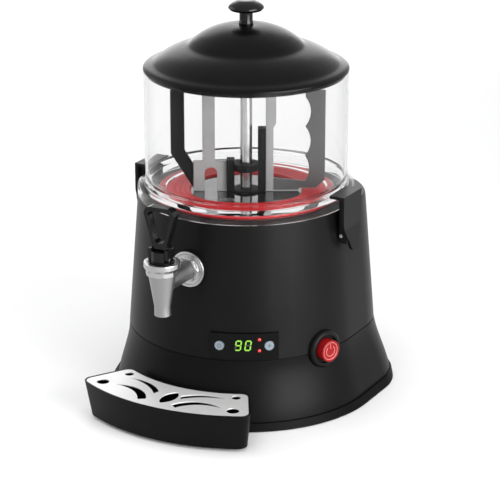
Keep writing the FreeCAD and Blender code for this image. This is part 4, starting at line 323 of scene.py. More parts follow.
# Circuit board: a green lacquer with pale copper tracks from a stepped noise.
def circuitBoard(name, values):
    finish = Finish(name)
    cells = finish.node("ShaderNodeTexVoronoi", {"distance": "CHEBYCHEV", "feature": "F1"},
                        {"Vector": finish.place(), "Scale": values["trackScale"],
                         "Randomness": values["scatter"]})
    tracks = finish.ramp(cells, rampStops["tracks"])
    colour = finish.mix(tracks, values["colour"], values["trackColour"])
    return finish.surface(finish.shader(colour=colour, rough=values["rough"] + tracks * values["trackRough"],
                                        normal=finish.bump(tracks, values["depth"])))


finishes["circuitBoard"] = circuitBoard("circuitBoard", {
    "colour": (0.01, 0.11, 0.035, 1), "trackColour": (0.03, 0.2, 0.07, 1), "trackScale": 420, "depth": 0.05,
    "scatter": 0.6, "rough": 0.35, "trackRough": 0.1})


# Panel button: a pale cap with a darker generic sign, a ring or a cross, drawn by the distance from its centre.
def buttonCap(name, values):
    finish = Finish(name)
    turn = math.radians(values["azimuth"])
    centre = (values["radius"] * mm * math.sin(turn), -values["radius"] * mm * math.cos(turn),
              values["height"] * mm)
    point = finish.place(centre)
    across = finish.node("ShaderNodeVectorMath", {"operation": "DOT_PRODUCT"},
                         {0: point, 1: (math.cos(turn), math.sin(turn), 0)}, output="Value")
    up = finish.node("ShaderNodeVectorMath", {"operation": "DOT_PRODUCT"}, {0: point, 1: (0, 0, 1)},
                     output="Value")
    away = finish.node("ShaderNodeMath", {"operation": "SQRT"}, {0: across * across + up * up})
    size = values["sign"] * mm
    thin = values["line"] * mm
    if values["cross"]:
        wide = finish.node("ShaderNodeMath", {"operation": "ABSOLUTE"}, {0: across})
        high = finish.node("ShaderNodeMath", {"operation": "ABSOLUTE"}, {0: up})
        sign = finish.node("ShaderNodeMath", {"operation": "MAXIMUM"},
                           {0: (wide < thin) * (high < size), 1: (high < thin) * (wide < size)})
    else:
        sign = finish.node("ShaderNodeMath", {"operation": "ABSOLUTE"}, {0: away - size}) < thin
    grain = finish.noise(finish.place(), values["grainScale"], 2)
    colour = finish.mix(sign, values["colour"], values["signColour"])
    colour = finish.mix(away > values["edge"] * mm, colour, values["edgeColour"])
    rough = values["rough"] + (grain - 0.5) * values["grainRough"]
    normal = finish.bump(grain, values["grainDepth"])
    return finish.surface(finish.shader(colour=colour, rough=rough, normal=normal))


# The panel's middle, to the right of the front in degrees, and its buttons' swing from there and height
panelValues = {"azimuth": 28.15, "swing": 11.7, "buttons": 96.5}
buttonValues = {"radius": 139.3, "height": panelValues["buttons"], "sign": 2.1, "line": 0.5, "edge": 4.9,
                "colour": (0.18, 0.215, 0.25, 1), "signColour": (0.07, 0.085, 0.1, 1),
                "edgeColour": (0.09, 0.105, 0.12, 1), "rough": 0.3, "grainRough": 0.1, "grainScale": 1800,
                "grainDepth": 0.004}
for name, swing, cross in (("buttonLeft", -panelValues["swing"], False),
                           ("buttonRight", panelValues["swing"], True)):
    finishes[name] = buttonCap(name, {**buttonValues, "azimuth": panelValues["azimuth"] + swing,
                                      "cross": cross})


# Quads of a grid of points: each point joins its next row and its next column.
def gridFaces(rows, columns, closeRows, closeColumns):
    row, column = np.meshgrid(np.arange(rows if closeRows else rows - 1),
                              np.arange(columns if closeColumns else columns - 1), indexing="ij")
    nextRow, nextColumn = (row + 1) % rows, (column + 1) % columns
    faces = np.stack([row * columns + column, row * columns + nextColumn,
                      nextRow * columns + nextColumn, nextRow * columns + column], -1)
    return faces.reshape(-1, 4)


# Distances in metres at which points merge and thin faces go, and the bend in degrees that still counts as flat
meshValues = {"merge": 1e-6, "thin": 1e-7, "copyMerge": 2e-6, "flat": 0.2}


# Adds a mesh piece from points in metres, merges its poles and turns its faces outwards.
def addPiece(name, points, faces, finish, body, nodes=(), slot=None, smoothAngle=35):
    mesh = bpy.data.meshes.new(name)
    mesh.from_pydata(np.asarray(points, float).reshape(-1, 3), [], np.asarray(faces).tolist())
    build = bmesh.new()
    build.from_mesh(mesh)
    bmesh.ops.remove_doubles(build, verts=build.verts, dist=meshValues["merge"])
    bmesh.ops.dissolve_degenerate(build, edges=build.edges, dist=meshValues["thin"])
    if build.calc_volume(signed=True) < 0:
        bmesh.ops.reverse_faces(build, faces=build.faces)
    build.to_mesh(mesh)
    build.free()
    return settle(name, mesh, finish, body, nodes, smoothAngle)


def settle(name, mesh, finish, body, nodes, smoothAngle):
    mesh.shade_smooth()
    mesh.set_sharp_from_angle(angle=math.radians(smoothAngle))
    mesh.materials.clear()
    mesh.materials.append(finishes[finish].material)
    piece = bpy.data.objects.new(name, mesh)
    bpy.context.scene.collection.objects.link(piece)
    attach(piece, body)
    if nodes:
        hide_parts(*nodes)
    return piece


# How finely a profile is sampled, its least softness as a share of its length, and how many samples a bend is
# measured over and how strongly it draws points
profileValues = {"samples": 2400, "least": 1 / 4000, "window": 17, "pull": 1.6}


# A softened profile: corners joined by straight runs, sampled finely, then averaged with a bell curve whose
# width is each corner's softness. Points come back closer together where the line bends.
def softProfile(corners, softness, count, closed=True):
    corners = np.array(corners, float)
    softness = np.broadcast_to(np.asarray(softness, float), len(corners)).copy()
    if closed:
        corners, softness = np.vstack([corners, corners[:1]]), np.append(softness, softness[0])
    else:  # a profile that ends on the axis goes on as its own mirror image
        corners = np.vstack([corners, corners[-2:0:-1] * [-1, 1], corners[:1]])
        softness = np.concatenate([softness, softness[-2:0:-1], softness[:1]])
    lengths = np.concatenate([[0], np.cumsum(np.linalg.norm(np.diff(corners, axis=0), axis=1))])
    fine = np.linspace(0, lengths[-1], profileValues["samples"], endpoint=False)
    line = np.stack([np.interp(fine, lengths, corners[:, axis]) for axis in (0, 1)], 1)
    nearest = np.abs(fine[:, None] - lengths[None, :]).argmin(1)
    width = np.maximum(softness[nearest], lengths[-1] * profileValues["least"])[:, None]
    gap = np.abs(fine[:, None] - fine[None, :])
    gap = np.minimum(gap, lengths[-1] - gap)
    bell = np.exp(-0.5 * (gap / width) ** 2)
    line = (bell / bell.sum(1, keepdims=True)) @ line
    step = np.roll(line, -1, 0) - line
    turn = np.arctan2(step[:, 1], step[:, 0])
    bend = np.abs((turn - np.roll(turn, 1) + math.pi) % (2 * math.pi) - math.pi)
    window = profileValues["window"]
    side = window // 2
    bend = np.convolve(np.concatenate([bend[-side:], bend, bend[:side]]), np.ones(window) / window, "valid")
    measure = np.cumsum(np.linalg.norm(step, axis=1) / lengths[-1] + bend / bend.sum() * profileValues["pull"])
    total = count if closed else 2 * count
    wanted = np.linspace(0, measure[-1], total, endpoint=False)
    line = np.stack([np.interp(wanted, measure, line[:, axis]) for axis in (0, 1)], 1)
    if closed:
        return line
    half = line[line[:, 0] >= 0]
    half = half[np.argsort(np.unwrap(np.arctan2(half[:, 1] - line[:, 1].mean(), half[:, 0])))]
    return np.vstack([[0, half[0, 1]], half, [0, half[-1, 1]]])


# Arc points between two profile points, with the radius and the side its centre lies on.
def arcPoints(start, end, radius, side, count=14):
    start, end = np.array(start, float), np.array(end, float)
    chord = end - start
    half = np.linalg.norm(chord) / 2
    normal = np.array([-chord[1], chord[0]]) / (2 * half)
    centre = (start + end) / 2 + normal * side * math.sqrt(radius * radius - half * half)
    first = math.atan2(*(start - centre)[::-1])
    sweep = (math.atan2(*(end - centre)[::-1]) - first + math.pi) % (2 * math.pi) - math.pi
    angle = first + sweep * np.linspace(0, 1, count)
    return centre + radius * np.stack([np.cos(angle), np.sin(angle)], 1)


# A profile of (radius, height) carried round an axis: point = origin + radius * (cos, sin) + height * axis.
def turnedPoints(profile, origin, axis, sides, limit=None):
    axis = np.array(axis, float) / np.linalg.norm(axis)
    side = np.array([0, 0, 1.0]) if abs(axis[2]) < 0.9 else np.array([1.0, 0, 0])
    first = np.cross(side, axis)
    first /= np.linalg.norm(first)
    second = np.cross(axis, first)
    angle = np.linspace(0, 2 * math.pi, sides, endpoint=False)[None, :, None]
    radius, height = profile[:, 0][:, None], profile[:, 1][:, None]
    if limit is not None:
        radius = limit(radius, height, angle[:, :, 0])
    else:
        radius = np.broadcast_to(radius, (len(profile), sides))
    points = (np.array(origin, float) + radius[:, :, None] * (np.cos(angle) * first + np.sin(angle) * second)
              + height[:, :, None] * axis)
    return points * mm


def turnedPiece(name, profile, finish, body, nodes, slot, origin=(0, 0, 0), axis=(0, 0, 1), sides=160,
                limit=None, smoothAngle=35):
    points = turnedPoints(profile, origin, axis, sides, limit)
    return addPiece(name, points, gridFaces(len(profile), sides, True, True), finish, body, nodes, slot,
                    smoothAngle)


# A merged copy of a CAD node whose edges are rounded.
def roundedCopy(node, finish, width, segments, angle=35):
    mesh = frame["nodes"][node].data.copy()
    build = bmesh.new()
    build.from_mesh(mesh)
    bmesh.ops.remove_doubles(build, verts=build.verts, dist=meshValues["copyMerge"])
    bmesh.ops.dissolve_limit(build, angle_limit=math.radians(meshValues["flat"]), verts=build.verts,
                             edges=build.edges)
    build.to_mesh(mesh)
    build.free()
    if mesh.attributes.get("custom_normal"):
        mesh.attributes.remove(mesh.attributes["custom_normal"])
    piece = settle(node + "_rounded", mesh, finish, bodyOf[node], (node,), angle)
    bevel = piece.modifiers.new("edges", "BEVEL")
    bevel.width = width * mm
    bevel.segments = segments
    bevel.limit_method = "ANGLE"
    bevel.angle_limit = math.radians(angle)
    bevel.harden_normals = True
    bevel.miter_outer = "MITER_ARC"
    return piece


bodyOf = {node: body for body, members in frame["record"]["behaviour"]["bodies"].items() for node in members}

# CAD nodes that keep their own shape, with a better finish
carriedOver = {
    "feet": "footRubber", "base_screws": "sheetSteel", "control_board": "circuitBoard",
    "board_posts": "satinBlack", "power_switch": "satinBlack", "water_tank": "sheetSteel",
    "floor_pan": "panSteel", "heating_element": "motorSteel", "temperature_probe": "pinSteel",
    "outlet_pipe": "sheetSteel", "support_frame": "sheetSteel", "gear_motor": "motorSteel",
    "motor_spacers": "brass", "drive_shaft": "columnSteelPaintedReflections", "shaft_coupling": "brass",
    "column_tube": "columnSteelPaintedReflections", "column_bushes": "whiteRubber", "lever_pin": "pinSteel",
    "tap_washer": "whiteRubber", "tap_nut": "tapSteel", "clip_pins": "pinSteel", "knob_screw": "pinSteel",
    "valve_plug": "whiteRubber", "valve_stem": "pinSteel", "valve_spring": "pinSteel",
}
for node, finish in carriedOver.items():
    data = frame["nodes"][node].data
    data.materials.clear()
    data.materials.append(finishes[finish].material)

# CAD nodes whose edges are rounded: finish, width of the rounding, segments
softenedNodes = {
    "base_plate": ("hubBlack", 0.8, 3), "lower_housing": ("housing", 1.1, 3),
    "upper_housing": ("upperHousing", 0.5, 2), "control_panel": ("panelBlack", 0.5, 3),
    "mains_inlet": ("satinBlack", 0.5, 2), "stirrer_hub": ("hubBlack", 0.8, 3),
    # stirrer_blade takes the black hub finish as painted shade: the blades are darkened for the side of them
    # that lies in shade.
    "stirrer_web": ("webGrey", 0.7, 3), "stirrer_blade": ("hubBlack", 0.7, 3),
    "stirrer_bar": ("barGrey", 0.7, 3), "stirrer_paddle": ("paddleGrey", 0.7, 3),
    "drive_cap": ("satinBlack", 0.7, 2), "tap_body": ("tapSteel", 0.5, 2), "tap_bonnet": ("glossBlack", 0.6, 2),
    "tap_lever": ("glossBlack", 2.2, 4), "clip_left": ("satinBlack", 0.9, 3),
    "clip_right": ("satinBlack", 0.9, 3), "drip_tray": ("trayBlack", 0.5, 2),
    "tray_grille": ("grilleSteel", 0.35, 2),
}
for node, (finish, width, segments) in softenedNodes.items():
    roundedCopy(node, finish, width, segments)
print("carried over:", len(carriedOver), "rounded:", len(softenedNodes))

# Lid: a sloped rim over the bowl's edge, a dome and a crown, softened where they meet.
lidValues = {"rim": 117.6, "rimTop": 384.8, "flange": 389.6, "crease": 107, "dome": (66.5, 409.5),
             "crown": (62.3, 414), "top": 433, "stem": 8.2, "hole": 2.8, "wall": 2.5, "domeBulge": 95,
             "crownBulge": 78, "lip": 113, "lipBottom": 377.5, "seat": 384.05, "seatOuter": 117.3, "skirt": 2,
             "rimTurn": 3.4, "soft": 0.35, "rimSoft": 1.1, "flangeSoft": 1.8, "creaseSoft": 2.6, "sides": 240,
             "count": 190}


def makeLid(v):
    outer = arcPoints((v["crease"], v["flange"]), v["dome"], v["domeBulge"], 1)
    crown = arcPoints(v["crown"], (v["stem"], v["top"]), v["crownBulge"], 1)
    crownInside = arcPoints((v["stem"], v["top"] - v["wall"]),
                            (v["crown"][0] - v["wall"], v["crown"][1] - v["wall"]), v["crownBulge"], -1)
    domeInside = arcPoints((v["dome"][0] - v["wall"], v["dome"][1] - v["wall"]),
                           (v["crease"] - v["wall"], v["flange"] - v["wall"]), v["domeBulge"], -1)
    lipInside = v["lip"] - v["wall"]
    corners = np.vstack([
        [[v["rim"], v["seat"] - v["skirt"]], [v["rim"], v["rimTop"]],
         [v["rim"] - v["rimTurn"], (v["rimTop"] + v["flange"]) / 2]],
        outer, crown, [[v["hole"], v["top"]], [v["hole"], v["top"] - v["wall"]]], crownInside, domeInside,
        [[lipInside, v["flange"] - v["wall"]], [lipInside, v["lipBottom"]], [v["lip"], v["lipBottom"]],
         [v["lip"], v["seat"]], [v["seatOuter"], v["seat"]], [v["seatOuter"], v["seat"] - v["skirt"]]]])
    softness = np.full(len(corners), v["soft"])
    softness[1:3] = v["rimSoft"]
    softness[3:5] = v["flangeSoft"]
    joint = 3 + len(outer)
    softness[joint - 3:joint + 3] = v["creaseSoft"]
    return softProfile(corners, softness, v["count"])


turnedPiece("lid_shell_turned", makeLid(lidValues), "lidBlack", "lid", ("lid_shell",), "gloss_black",
            sides=lidValues["sides"])

# Knob: a stem with two rings and a mushroom cap.
knobValues = {"bottom": 433, "stem": 8.2, "ring": 0.5, "ringHeight": 3, "ringSlope": 1, "cap": 20.8,
              "capBottom": 449, "capEdge": 3, "domeInset": 1.2, "domeRise": 6, "domeBulge": 24, "top": 461,
              "soft": 0.8, "seatSoft": 0.2, "topSoft": 1.5, "sides": 120, "count": 90}


def makeKnob(v):
    dome = arcPoints((v["cap"] - v["domeInset"], v["capBottom"] + v["domeRise"]), (v["stem"], v["top"]),
                     v["domeBulge"], 1)
    waist, ringTop = v["stem"] - v["ring"], v["bottom"] + v["ringHeight"]
    corners = np.vstack([
        [[0, v["bottom"]], [v["stem"], v["bottom"]], [v["stem"], ringTop], [waist, ringTop + v["ringSlope"]],
         [waist, v["capBottom"] - v["ringHeight"]], [v["stem"], v["capBottom"]],
         [v["cap"] - v["capEdge"], v["capBottom"]], [v["cap"], v["capBottom"] + v["capEdge"]]],
        dome, [[0, v["top"]]]])
    softness = np.full(len(corners), v["soft"])
    softness[:2] = v["seatSoft"]
    softness[-8:] = v["topSoft"]
    return softProfile(corners, softness, v["count"], closed=False)


turnedPiece("lid_knob_turned", makeKnob(knobValues), "glossBlack", "lid", ("lid_knob",), "gloss_black",
            sides=knobValues["sides"])

# Bowl: a straight wall, a conical foot that seals on the gasket, and a skirt over the deck's edge.
bowlValues = {"skirt": 125.6, "bottom": 234.6, "shoulder": 248.9, "outer": 117, "top": 384, "inner": 114,
              "knee": 257, "lip": 92.5, "lipRise": 240, "lipBottom": 238.3, "lipOuter": 97, "skirtInner": 122.6,
              "skirtEdge": 3, "shoulderRun": 2, "shoulderRise": 1.4, "wallStart": 5, "footInset": 1,
              "skirtRoof": 4, "soft": [0.4, 1.2, 1.2, 1.0, 1.5, 0.4, 0.4, 2.0, 0.4, 0.2, 0.4, 1.2, 1.0, 0.4],
              "sides": 256, "count": 170}


def makeBowl(v):
    corners = [(v["skirt"], v["bottom"]), (v["skirt"], v["shoulder"] - v["skirtEdge"]),
               (v["skirt"] - v["skirtEdge"], v["shoulder"]),
               (v["outer"] + v["shoulderRun"], v["shoulder"] + v["shoulderRise"]),
               (v["outer"], v["shoulder"] + v["wallStart"]), (v["outer"], v["top"]), (v["inner"], v["top"]),
               (v["inner"], v["knee"]), (v["lip"], v["lipRise"]), (v["lip"], v["lipBottom"]),
               (v["lipOuter"], v["lipBottom"]), (v["inner"] - v["footInset"], v["shoulder"] - v["skirtEdge"]),
               (v["skirtInner"], v["shoulder"] - v["skirtRoof"]), (v["skirtInner"], v["bottom"])]
    return softProfile(corners, v["soft"], v["count"])


turnedPiece("bowl_turned", makeBowl(bowlValues), "bowlClear", "dispenser", ("bowl",), "clear",
            sides=bowlValues["sides"], smoothAngle=60)

# Gasket: a flat red ring with three shallow grooves under the bowl's foot.
gasketValues = {"inner": 64, "outer": 104, "bottom": 235.8, "top": 238.3, "slope": 66.5,
                "grooves": (72, 78, 84), "grooveDepth": 0.5, "grooveTop": 2, "grooveFloor": 1, "soft": 0.3,
                "sides": 200, "count": 90}


def makeGasket(v):
    corners = [(v["outer"], v["bottom"]), (v["outer"], v["top"])]
    for groove in v["grooves"][::-1]:
        low = v["top"] - v["grooveDepth"]
        corners += [(groove + v["grooveTop"], v["top"]), (groove + v["grooveFloor"], low),
                    (groove - v["grooveFloor"], low), (groove - v["grooveTop"], v["top"])]
    corners += [(v["slope"], v["top"]), (v["inner"], v["bottom"])]
    return softProfile(corners, v["soft"], v["count"])


turnedPiece("bowl_gasket_turned", makeGasket(gasketValues), "redSilicone", "dispenser", ("bowl_gasket",),
            "silicone", sides=gasketValues["sides"])
print("lid, knob, bowl and gasket")

# Tap collar: a ring nut. The radius at each height is the smaller of a round profile and a ten-sided outline.
collarValues = {"y": -189, "bottom": 193, "top": 208, "radius": 20.2, "facetRadius": 18.4, "bore": 14.8,
                "facets": 10, "lip": 200.5, "waist": 16.8, "chamfer": 2.2, "boreFlare": 0.2, "blend": 1.5,
                "wall": 1, "soft": [0.2, 0.4, 0.5, 0.7, 0.4], "sides": 240, "count": 80}


def collarLimit(v):
    def limit(radius, height, angle):
        step = 2 * math.pi / v["facets"]
        flat = v["facetRadius"] * math.cos(step / 2) / np.cos((angle % step) - step / 2)
        share = np.clip((height - v["lip"] + v["blend"]) / (2 * v["blend"]), 0, 1)
        outline = flat * (1 - share) + v["radius"] * share
        return np.where(radius > v["bore"] + v["wall"], np.minimum(radius, outline), radius)
    return limit


def makeCollar(v):
    return softProfile([(v["bore"], v["bottom"]), (v["waist"], v["bottom"]),
                        (v["radius"], v["bottom"] + v["chamfer"]), (v["radius"], v["top"]),
                        (v["bore"] + v["boreFlare"], v["top"])], v["soft"], v["count"])


turnedPiece("tap_collar_turned", makeCollar(collarValues), "collarSteel", "dispenser", ("tap_collar",), "steel",
            origin=(0, collarValues["y"], 0), sides=collarValues["sides"], limit=collarLimit(collarValues),
            smoothAngle=14)

# Tap flange: a thin disc with a six-sided boss, turned about the tap's shank.
flangeValues = {"z": 181, "back": 132.4, "front": 135.4, "disc": 20.8, "boss": 14, "bossFront": 139.4,
                "bore": 11.0, "flats": 6, "recess": 18.2, "recessFloor": 17.4, "recessDepth": 0.8, "clear": 0.3,
                "soft": [0.15, 0.3, 0.6, 0.2, 0.2, 0.2, 0.5, 0.3], "sides": 192, "count": 90}


def flangeLimit(v):
    def limit(radius, height, angle):
        step = 2 * math.pi / v["flats"]
        flat = v["boss"] * math.cos(step / 2) / np.cos((angle % step) - step / 2)
        onBoss = (height > v["front"] + v["clear"]) & (radius > v["bore"] + v["clear"])
        return np.where(onBoss, np.minimum(radius, flat), radius)
    return limit


def makeFlange(v):
    floor = v["front"] - v["recessDepth"]
    return softProfile([(v["bore"], v["back"]), (v["disc"], v["back"]), (v["disc"], v["front"]),
                        (v["recess"], v["front"]), (v["recessFloor"], floor), (v["boss"], floor),
                        (v["boss"], v["bossFront"]), (v["bore"], v["bossFront"])], v["soft"], v["count"])


turnedPiece("tap_flange_turned", makeFlange(flangeValues), "flangeSteel", "dispenser", ("tap_flange",), "steel",
            origin=(0, 0, flangeValues["z"]), axis=(0, -1, 0), sides=flangeValues["sides"],
            limit=flangeLimit(flangeValues), smoothAngle=20)
print("tap fittings")


# A direction outwards at an angle to the right of the front.
def outward(degrees):
    return (math.sin(math.radians(degrees)), -math.cos(math.radians(degrees)), 0)


# Power switch: a dished bezel round the cap.
bezelValues = {"azimuth": 69, "z": 81, "radius": 21.8, "back": 128, "front": 143, "dish": 15.5,
               "dishDepth": 3.75, "hole": 13.1, "edgeBack": 2.4, "edgeInset": 2.2, "dishLip": 0.8,
               "soft": [0.3, 0.3, 0.8, 0.8, 0.6, 0.4, 0.3], "sides": 160, "count": 110}


def makeBezel(v):
    floor = v["front"] - v["dishDepth"]
    return softProfile([(v["hole"], v["back"]), (v["radius"], v["back"]),
                        (v["radius"], v["front"] - v["edgeBack"]), (v["radius"] - v["edgeInset"], v["front"]),
                        (v["dish"] + v["dishLip"], v["front"]), (v["dish"], floor), (v["hole"], floor)],
                       v["soft"], v["count"])


turnedPiece("power_bezel_turned", makeBezel(bezelValues), "satinBlack", "dispenser", ("power_bezel",),
            "black_plastic", origin=(0, 0, bezelValues["z"]), axis=outward(bezelValues["azimuth"]),
            sides=bezelValues["sides"])

# Its red cap, with a stem behind and a dished face.
capValues = {"radius": 12.7, "back": 131, "front": 150, "stem": 4, "stemBack": 126, "rimWidth": 1.6,
             "dish": 0.9, "dishSlope": 0.8, "soft": [0.2, 0.2, 0.2, 0.4, 0.5, 0.35, 0.35, 0.2], "sides": 128,
             "count": 90}


def makeCap(v):
    floor, rim = v["front"] - v["dish"], v["radius"] - v["rimWidth"]
    return softProfile([(0, v["stemBack"]), (v["stem"], v["stemBack"]), (v["stem"], v["back"]),
                        (v["radius"], v["back"]), (v["radius"], v["front"]), (rim, v["front"]),
                        (rim - v["dishSlope"], floor), (0, floor)],
                       v["soft"], v["count"], closed=False)


turnedPiece("power_button_turned", makeCap(capValues), "switchRed", "power_button", ("power_button",),
            "red_button", origin=(0, 0, bezelValues["z"]), axis=outward(bezelValues["azimuth"]),
            sides=capValues["sides"])

# Its sign: beads with an oval section, in a broken ring, a closed ring and an upright bar.
signValues = {"radius": 6.2, "gap": 38, "line": 0.55, "rise": 0.35, "barFrom": 2.6, "barTo": 8.6, "ring": 10.1,
              "arcSteps": 60, "arcTaper": 0.96, "ringSteps": 72, "barSteps": 24, "barTaper": 0.86, "around": 12}


# Rounds the ends of a bead: full between them, and down to nothing at the tips.
def beadTaper(steps, start):
    reach = np.abs(np.linspace(-1, 1, steps))
    return np.sqrt(np.clip(1 - (np.clip(reach - start, 0, 1) / (1 - start)) ** 2, 0, 1))


def makeSign(v):
    turn = math.radians(bezelValues["azimuth"])
    out, along = np.array(outward(bezelValues["azimuth"])), np.array([math.cos(turn), math.sin(turn), 0])
    upwards = np.array([0, 0, 1.0])
    face = out * (capValues["front"] - capValues["dish"]) + upwards * bezelValues["z"]
    section = np.linspace(0, 2 * math.pi, v["around"], endpoint=False)

    # a bead along a path, with its width laid along a direction at each point
    def bead(path, across, taper, closed):
        width = np.cos(section)[None, :, None] * v["line"] * taper[:, None, None]
        rise = np.sin(section)[None, :, None] * v["rise"] * taper[:, None, None]
        points = path[:, None, :] + across * width + out * rise
        return points.reshape(-1, 3), gridFaces(len(path), v["around"], closed, True)

    gap = math.radians(v["gap"])
    arc = np.linspace(math.pi / 2 + gap, 2.5 * math.pi - gap, v["arcSteps"])
    ring = np.linspace(0, 2 * math.pi, v["ringSteps"], endpoint=False)
    beads = []
    for angle, radius, taper, closed in ((arc, v["radius"], beadTaper(v["arcSteps"], v["arcTaper"]), False),
                                         (ring, v["ring"], np.ones(v["ringSteps"]), True)):
        spoke = np.cos(angle)[:, None] * along + np.sin(angle)[:, None] * upwards
        beads.append(bead(face + spoke * radius, spoke[:, None, :], taper, closed))
    heights = np.linspace(v["barFrom"], v["barTo"], v["barSteps"])
    beads.append(bead(face + heights[:, None] * upwards, along, beadTaper(v["barSteps"], v["barTaper"]), False))
    starts = np.cumsum([0] + [len(points) for points, faces in beads])
    faces = np.vstack([faces + start for (points, faces), start in zip(beads, starts)])
    return np.vstack([points for points, faces in beads]) * mm, faces


addPiece("power_sign", *makeSign(signValues), "signPale", "power_button", slot="light_plastic", smoothAngle=60)

# Panel buttons: round caps with a soft edge and a shallow dish.
keyValues = {"radius": 5.7, "back": 132.8, "front": 139.3, "dish": 0.25, "rim": 1.1,
             "soft": [0.2, 0.2, 0.35, 0.3, 0.3], "sides": 72, "count": 60}


def makeKey(v):
    return softProfile([(0, v["back"]), (v["radius"], v["back"]), (v["radius"], v["front"]),
                        (v["radius"] - v["rim"], v["front"]), (0, v["front"] - v["dish"])],
                       v["soft"], v["count"], closed=False)


for side, swing in (("left", -panelValues["swing"]), ("right", panelValues["swing"])):
    turnedPiece("panel_button_" + side + "_turned", makeKey(keyValues), "button" + side.capitalize(),
                "panel_button_" + side, ("panel_button_" + side,), "button",
                origin=(0, 0, panelValues["buttons"]), axis=outward(panelValues["azimuth"] + swing),
                sides=keyValues["sides"])

# Digits: seven slanted bars with pointed ends for each, laid on the panel's curved face.
digitValues = {"face": 138.3, "bottom": 91, "height": 12.7, "width": 7.4, "pitch": 11,
               "offset": -1.2, "stroke": 1.55, "gap": 0.22, "slant": 8, "thickness": 0.45,
               "darkThickness": 0.12}
litBars = {0: (1, 1, 1, 1, 0, 1, 1), 1: (1, 1, 1, 1, 1, 1, 0)}


def makeBars(v, lit):
    half, reach, stroke = v["height"] / 2, v["width"] / 2 - v["stroke"] / 2, v["stroke"] / 2
    upper = half - stroke
    # centre across, centre up, lies level, for: top, upper left, upper right, bottom, lower left, lower
    # right, middle
    bars = np.array([(0, upper, 1), (-reach, upper / 2, 0), (reach, upper / 2, 0), (0, -upper, 1),
                     (-reach, -upper / 2, 0), (reach, -upper / 2, 0), (0, 0, 1)], float)
    chosen = np.array([bool(litBars[digit][bar]) == lit for digit in (0, 1) for bar in range(7)])
    shifts = [[(digit - 0.5) * v["pitch"] + v["offset"], 0, 0] for digit in (0, 1)]
    centres = np.concatenate([bars + shift for shift in shifts])[chosen]
    length = np.where(centres[:, 2] > 0, reach, upper / 2) - v["gap"]
    hexagon = np.array([(-1, 0, 0), (-1, 1, -1), (1, -1, -1), (1, 0, 0), (1, -1, 1), (-1, 1, 1)], float)
    along = hexagon[None, :, 0] * length[:, None] + hexagon[None, :, 1] * stroke
    across = np.broadcast_to(hexagon[None, :, 2] * stroke, along.shape)
    level = centres[:, 2][:, None] > 0
    flat = centres[:, 0][:, None] + np.where(level, along, -across)
    tall = centres[:, 1][:, None] + np.where(level, across, along)
    flat = flat + (tall + half) * math.tan(math.radians(v["slant"])) - half * math.tan(math.radians(v["slant"]))
    turn = math.radians(panelValues["azimuth"]) + flat / v["face"]
    layers = np.array([0.0, v["thickness"] if lit else v["darkThickness"]])[None, :, None] + v["face"]
    points = np.stack([layers * np.sin(turn)[:, None, :], -layers * np.cos(turn)[:, None, :],
                       np.broadcast_to((v["bottom"] + half + tall)[:, None, :], (len(centres), 2, 6))], -1)
    first = np.arange(len(centres)) * 12
    corner = np.arange(6)
    sides = np.stack([corner, (corner + 1) % 6, (corner + 1) % 6 + 6, corner + 6], 1)
    faces = [list(row) for row in (first[:, None, None] + sides[None]).reshape(-1, 4)]
    faces += [list(row) for row in first[:, None] + corner[::-1]]
    faces += [list(row) for row in first[:, None] + corner + 6]
    return points.reshape(-1, 3) * mm, faces


def addBars(name, lit, finish, nodes):
    points, faces = makeBars(digitValues, lit)
    mesh = bpy.data.meshes.new(name)
    mesh.from_pydata(points, [], [[int(i) for i in face] for face in faces])
    build = bmesh.new()
    build.from_mesh(mesh)
    bmesh.ops.recalc_face_normals(build, faces=build.faces)
    build.to_mesh(mesh)
    build.free()
    return settle(name, mesh, finish, "dispenser", nodes, 30)


addBars("display_digits_lit", True, "litDigit", ("display_digits",))
addBars("display_digits_dark", False, "unlitDigitPaintedGlow", ())

# Lamps: two small domes beside the digits.
lampValues = {"azimuth": panelValues["azimuth"] + 7.1, "radius": 1.8, "back": 138.3, "front": 139.1,
              "edge": 0.35, "heights": (104.2, 90.9), "soft": [0.05, 0.05, 0.25, 0.4], "sides": 40, "count": 24}


def makeLamps(v):
    profile = softProfile([(0, v["back"]), (v["radius"], v["back"]), (v["radius"], v["front"] - v["edge"]),
                           (0, v["front"])], v["soft"], v["count"], closed=False)
    away = outward(v["azimuth"])
    domes = [turnedPoints(profile, (0, 0, height), away, v["sides"]) for height in v["heights"]]
    domes = [dome.reshape(-1, 3) for dome in domes]
    faces = gridFaces(len(profile), v["sides"], False, True)
    return np.vstack(domes), np.vstack([faces, faces + len(domes[0])])


addPiece("indicator_lamps_domed", *makeLamps(lampValues), "litLamp", "dispenser", ("indicator_lamps",),
         "lit_red")
print("controls")

# Floor: a plain pale sheet that keeps the object's shadow. Camera, gloss and clear rays see it white far
# away too, where the lamps no longer reach: the glow rises with the distance from the middle.
stageValues = {"half": 9.0, "colour": (0.78, 0.78, 0.785, 1), "mottle": 0.77, "mottleScale": 6, "rough": 0.9,
               "mottleRough": 0.05, "lift": 0.02, "farLift": 0.62, "farFrom": 1.5, "farTo": 2.8}


def makeStage(v):
    finish = Finish("paleFloor")
    mottle = finish.noise(finish.place(), v["mottleScale"])
    colour = finish.mix(mottle, v["colour"], grey(v["mottle"]))
    distance = finish.node("ShaderNodeVectorMath", {"operation": "LENGTH"}, {0: finish.place()}, output="Value")
    lift = finish.ramp(distance * (1 / v["farTo"]), [(v["farFrom"] / v["farTo"], v["lift"]), (1, v["farLift"])])
    glow = finish.mix(finish.seen(), grey(0), lift)
    rough = v["rough"] + mottle * v["mottleRough"]
    finish.surface(finish.shader(colour=colour, rough=rough, specular=0.0, glow=glow, glowStrength=1.0))
    half = v["half"]
    mesh = bpy.data.meshes.new("floor")
    mesh.from_pydata([(-half, -half, 0), (half, -half, 0), (half, half, 0), (-half, half, 0)], [],
                     [(0, 1, 2, 3)])
    mesh.materials.append(finish.material)
    floor = bpy.data.objects.new("floor", mesh)
    bpy.context.scene.collection.objects.link(floor)


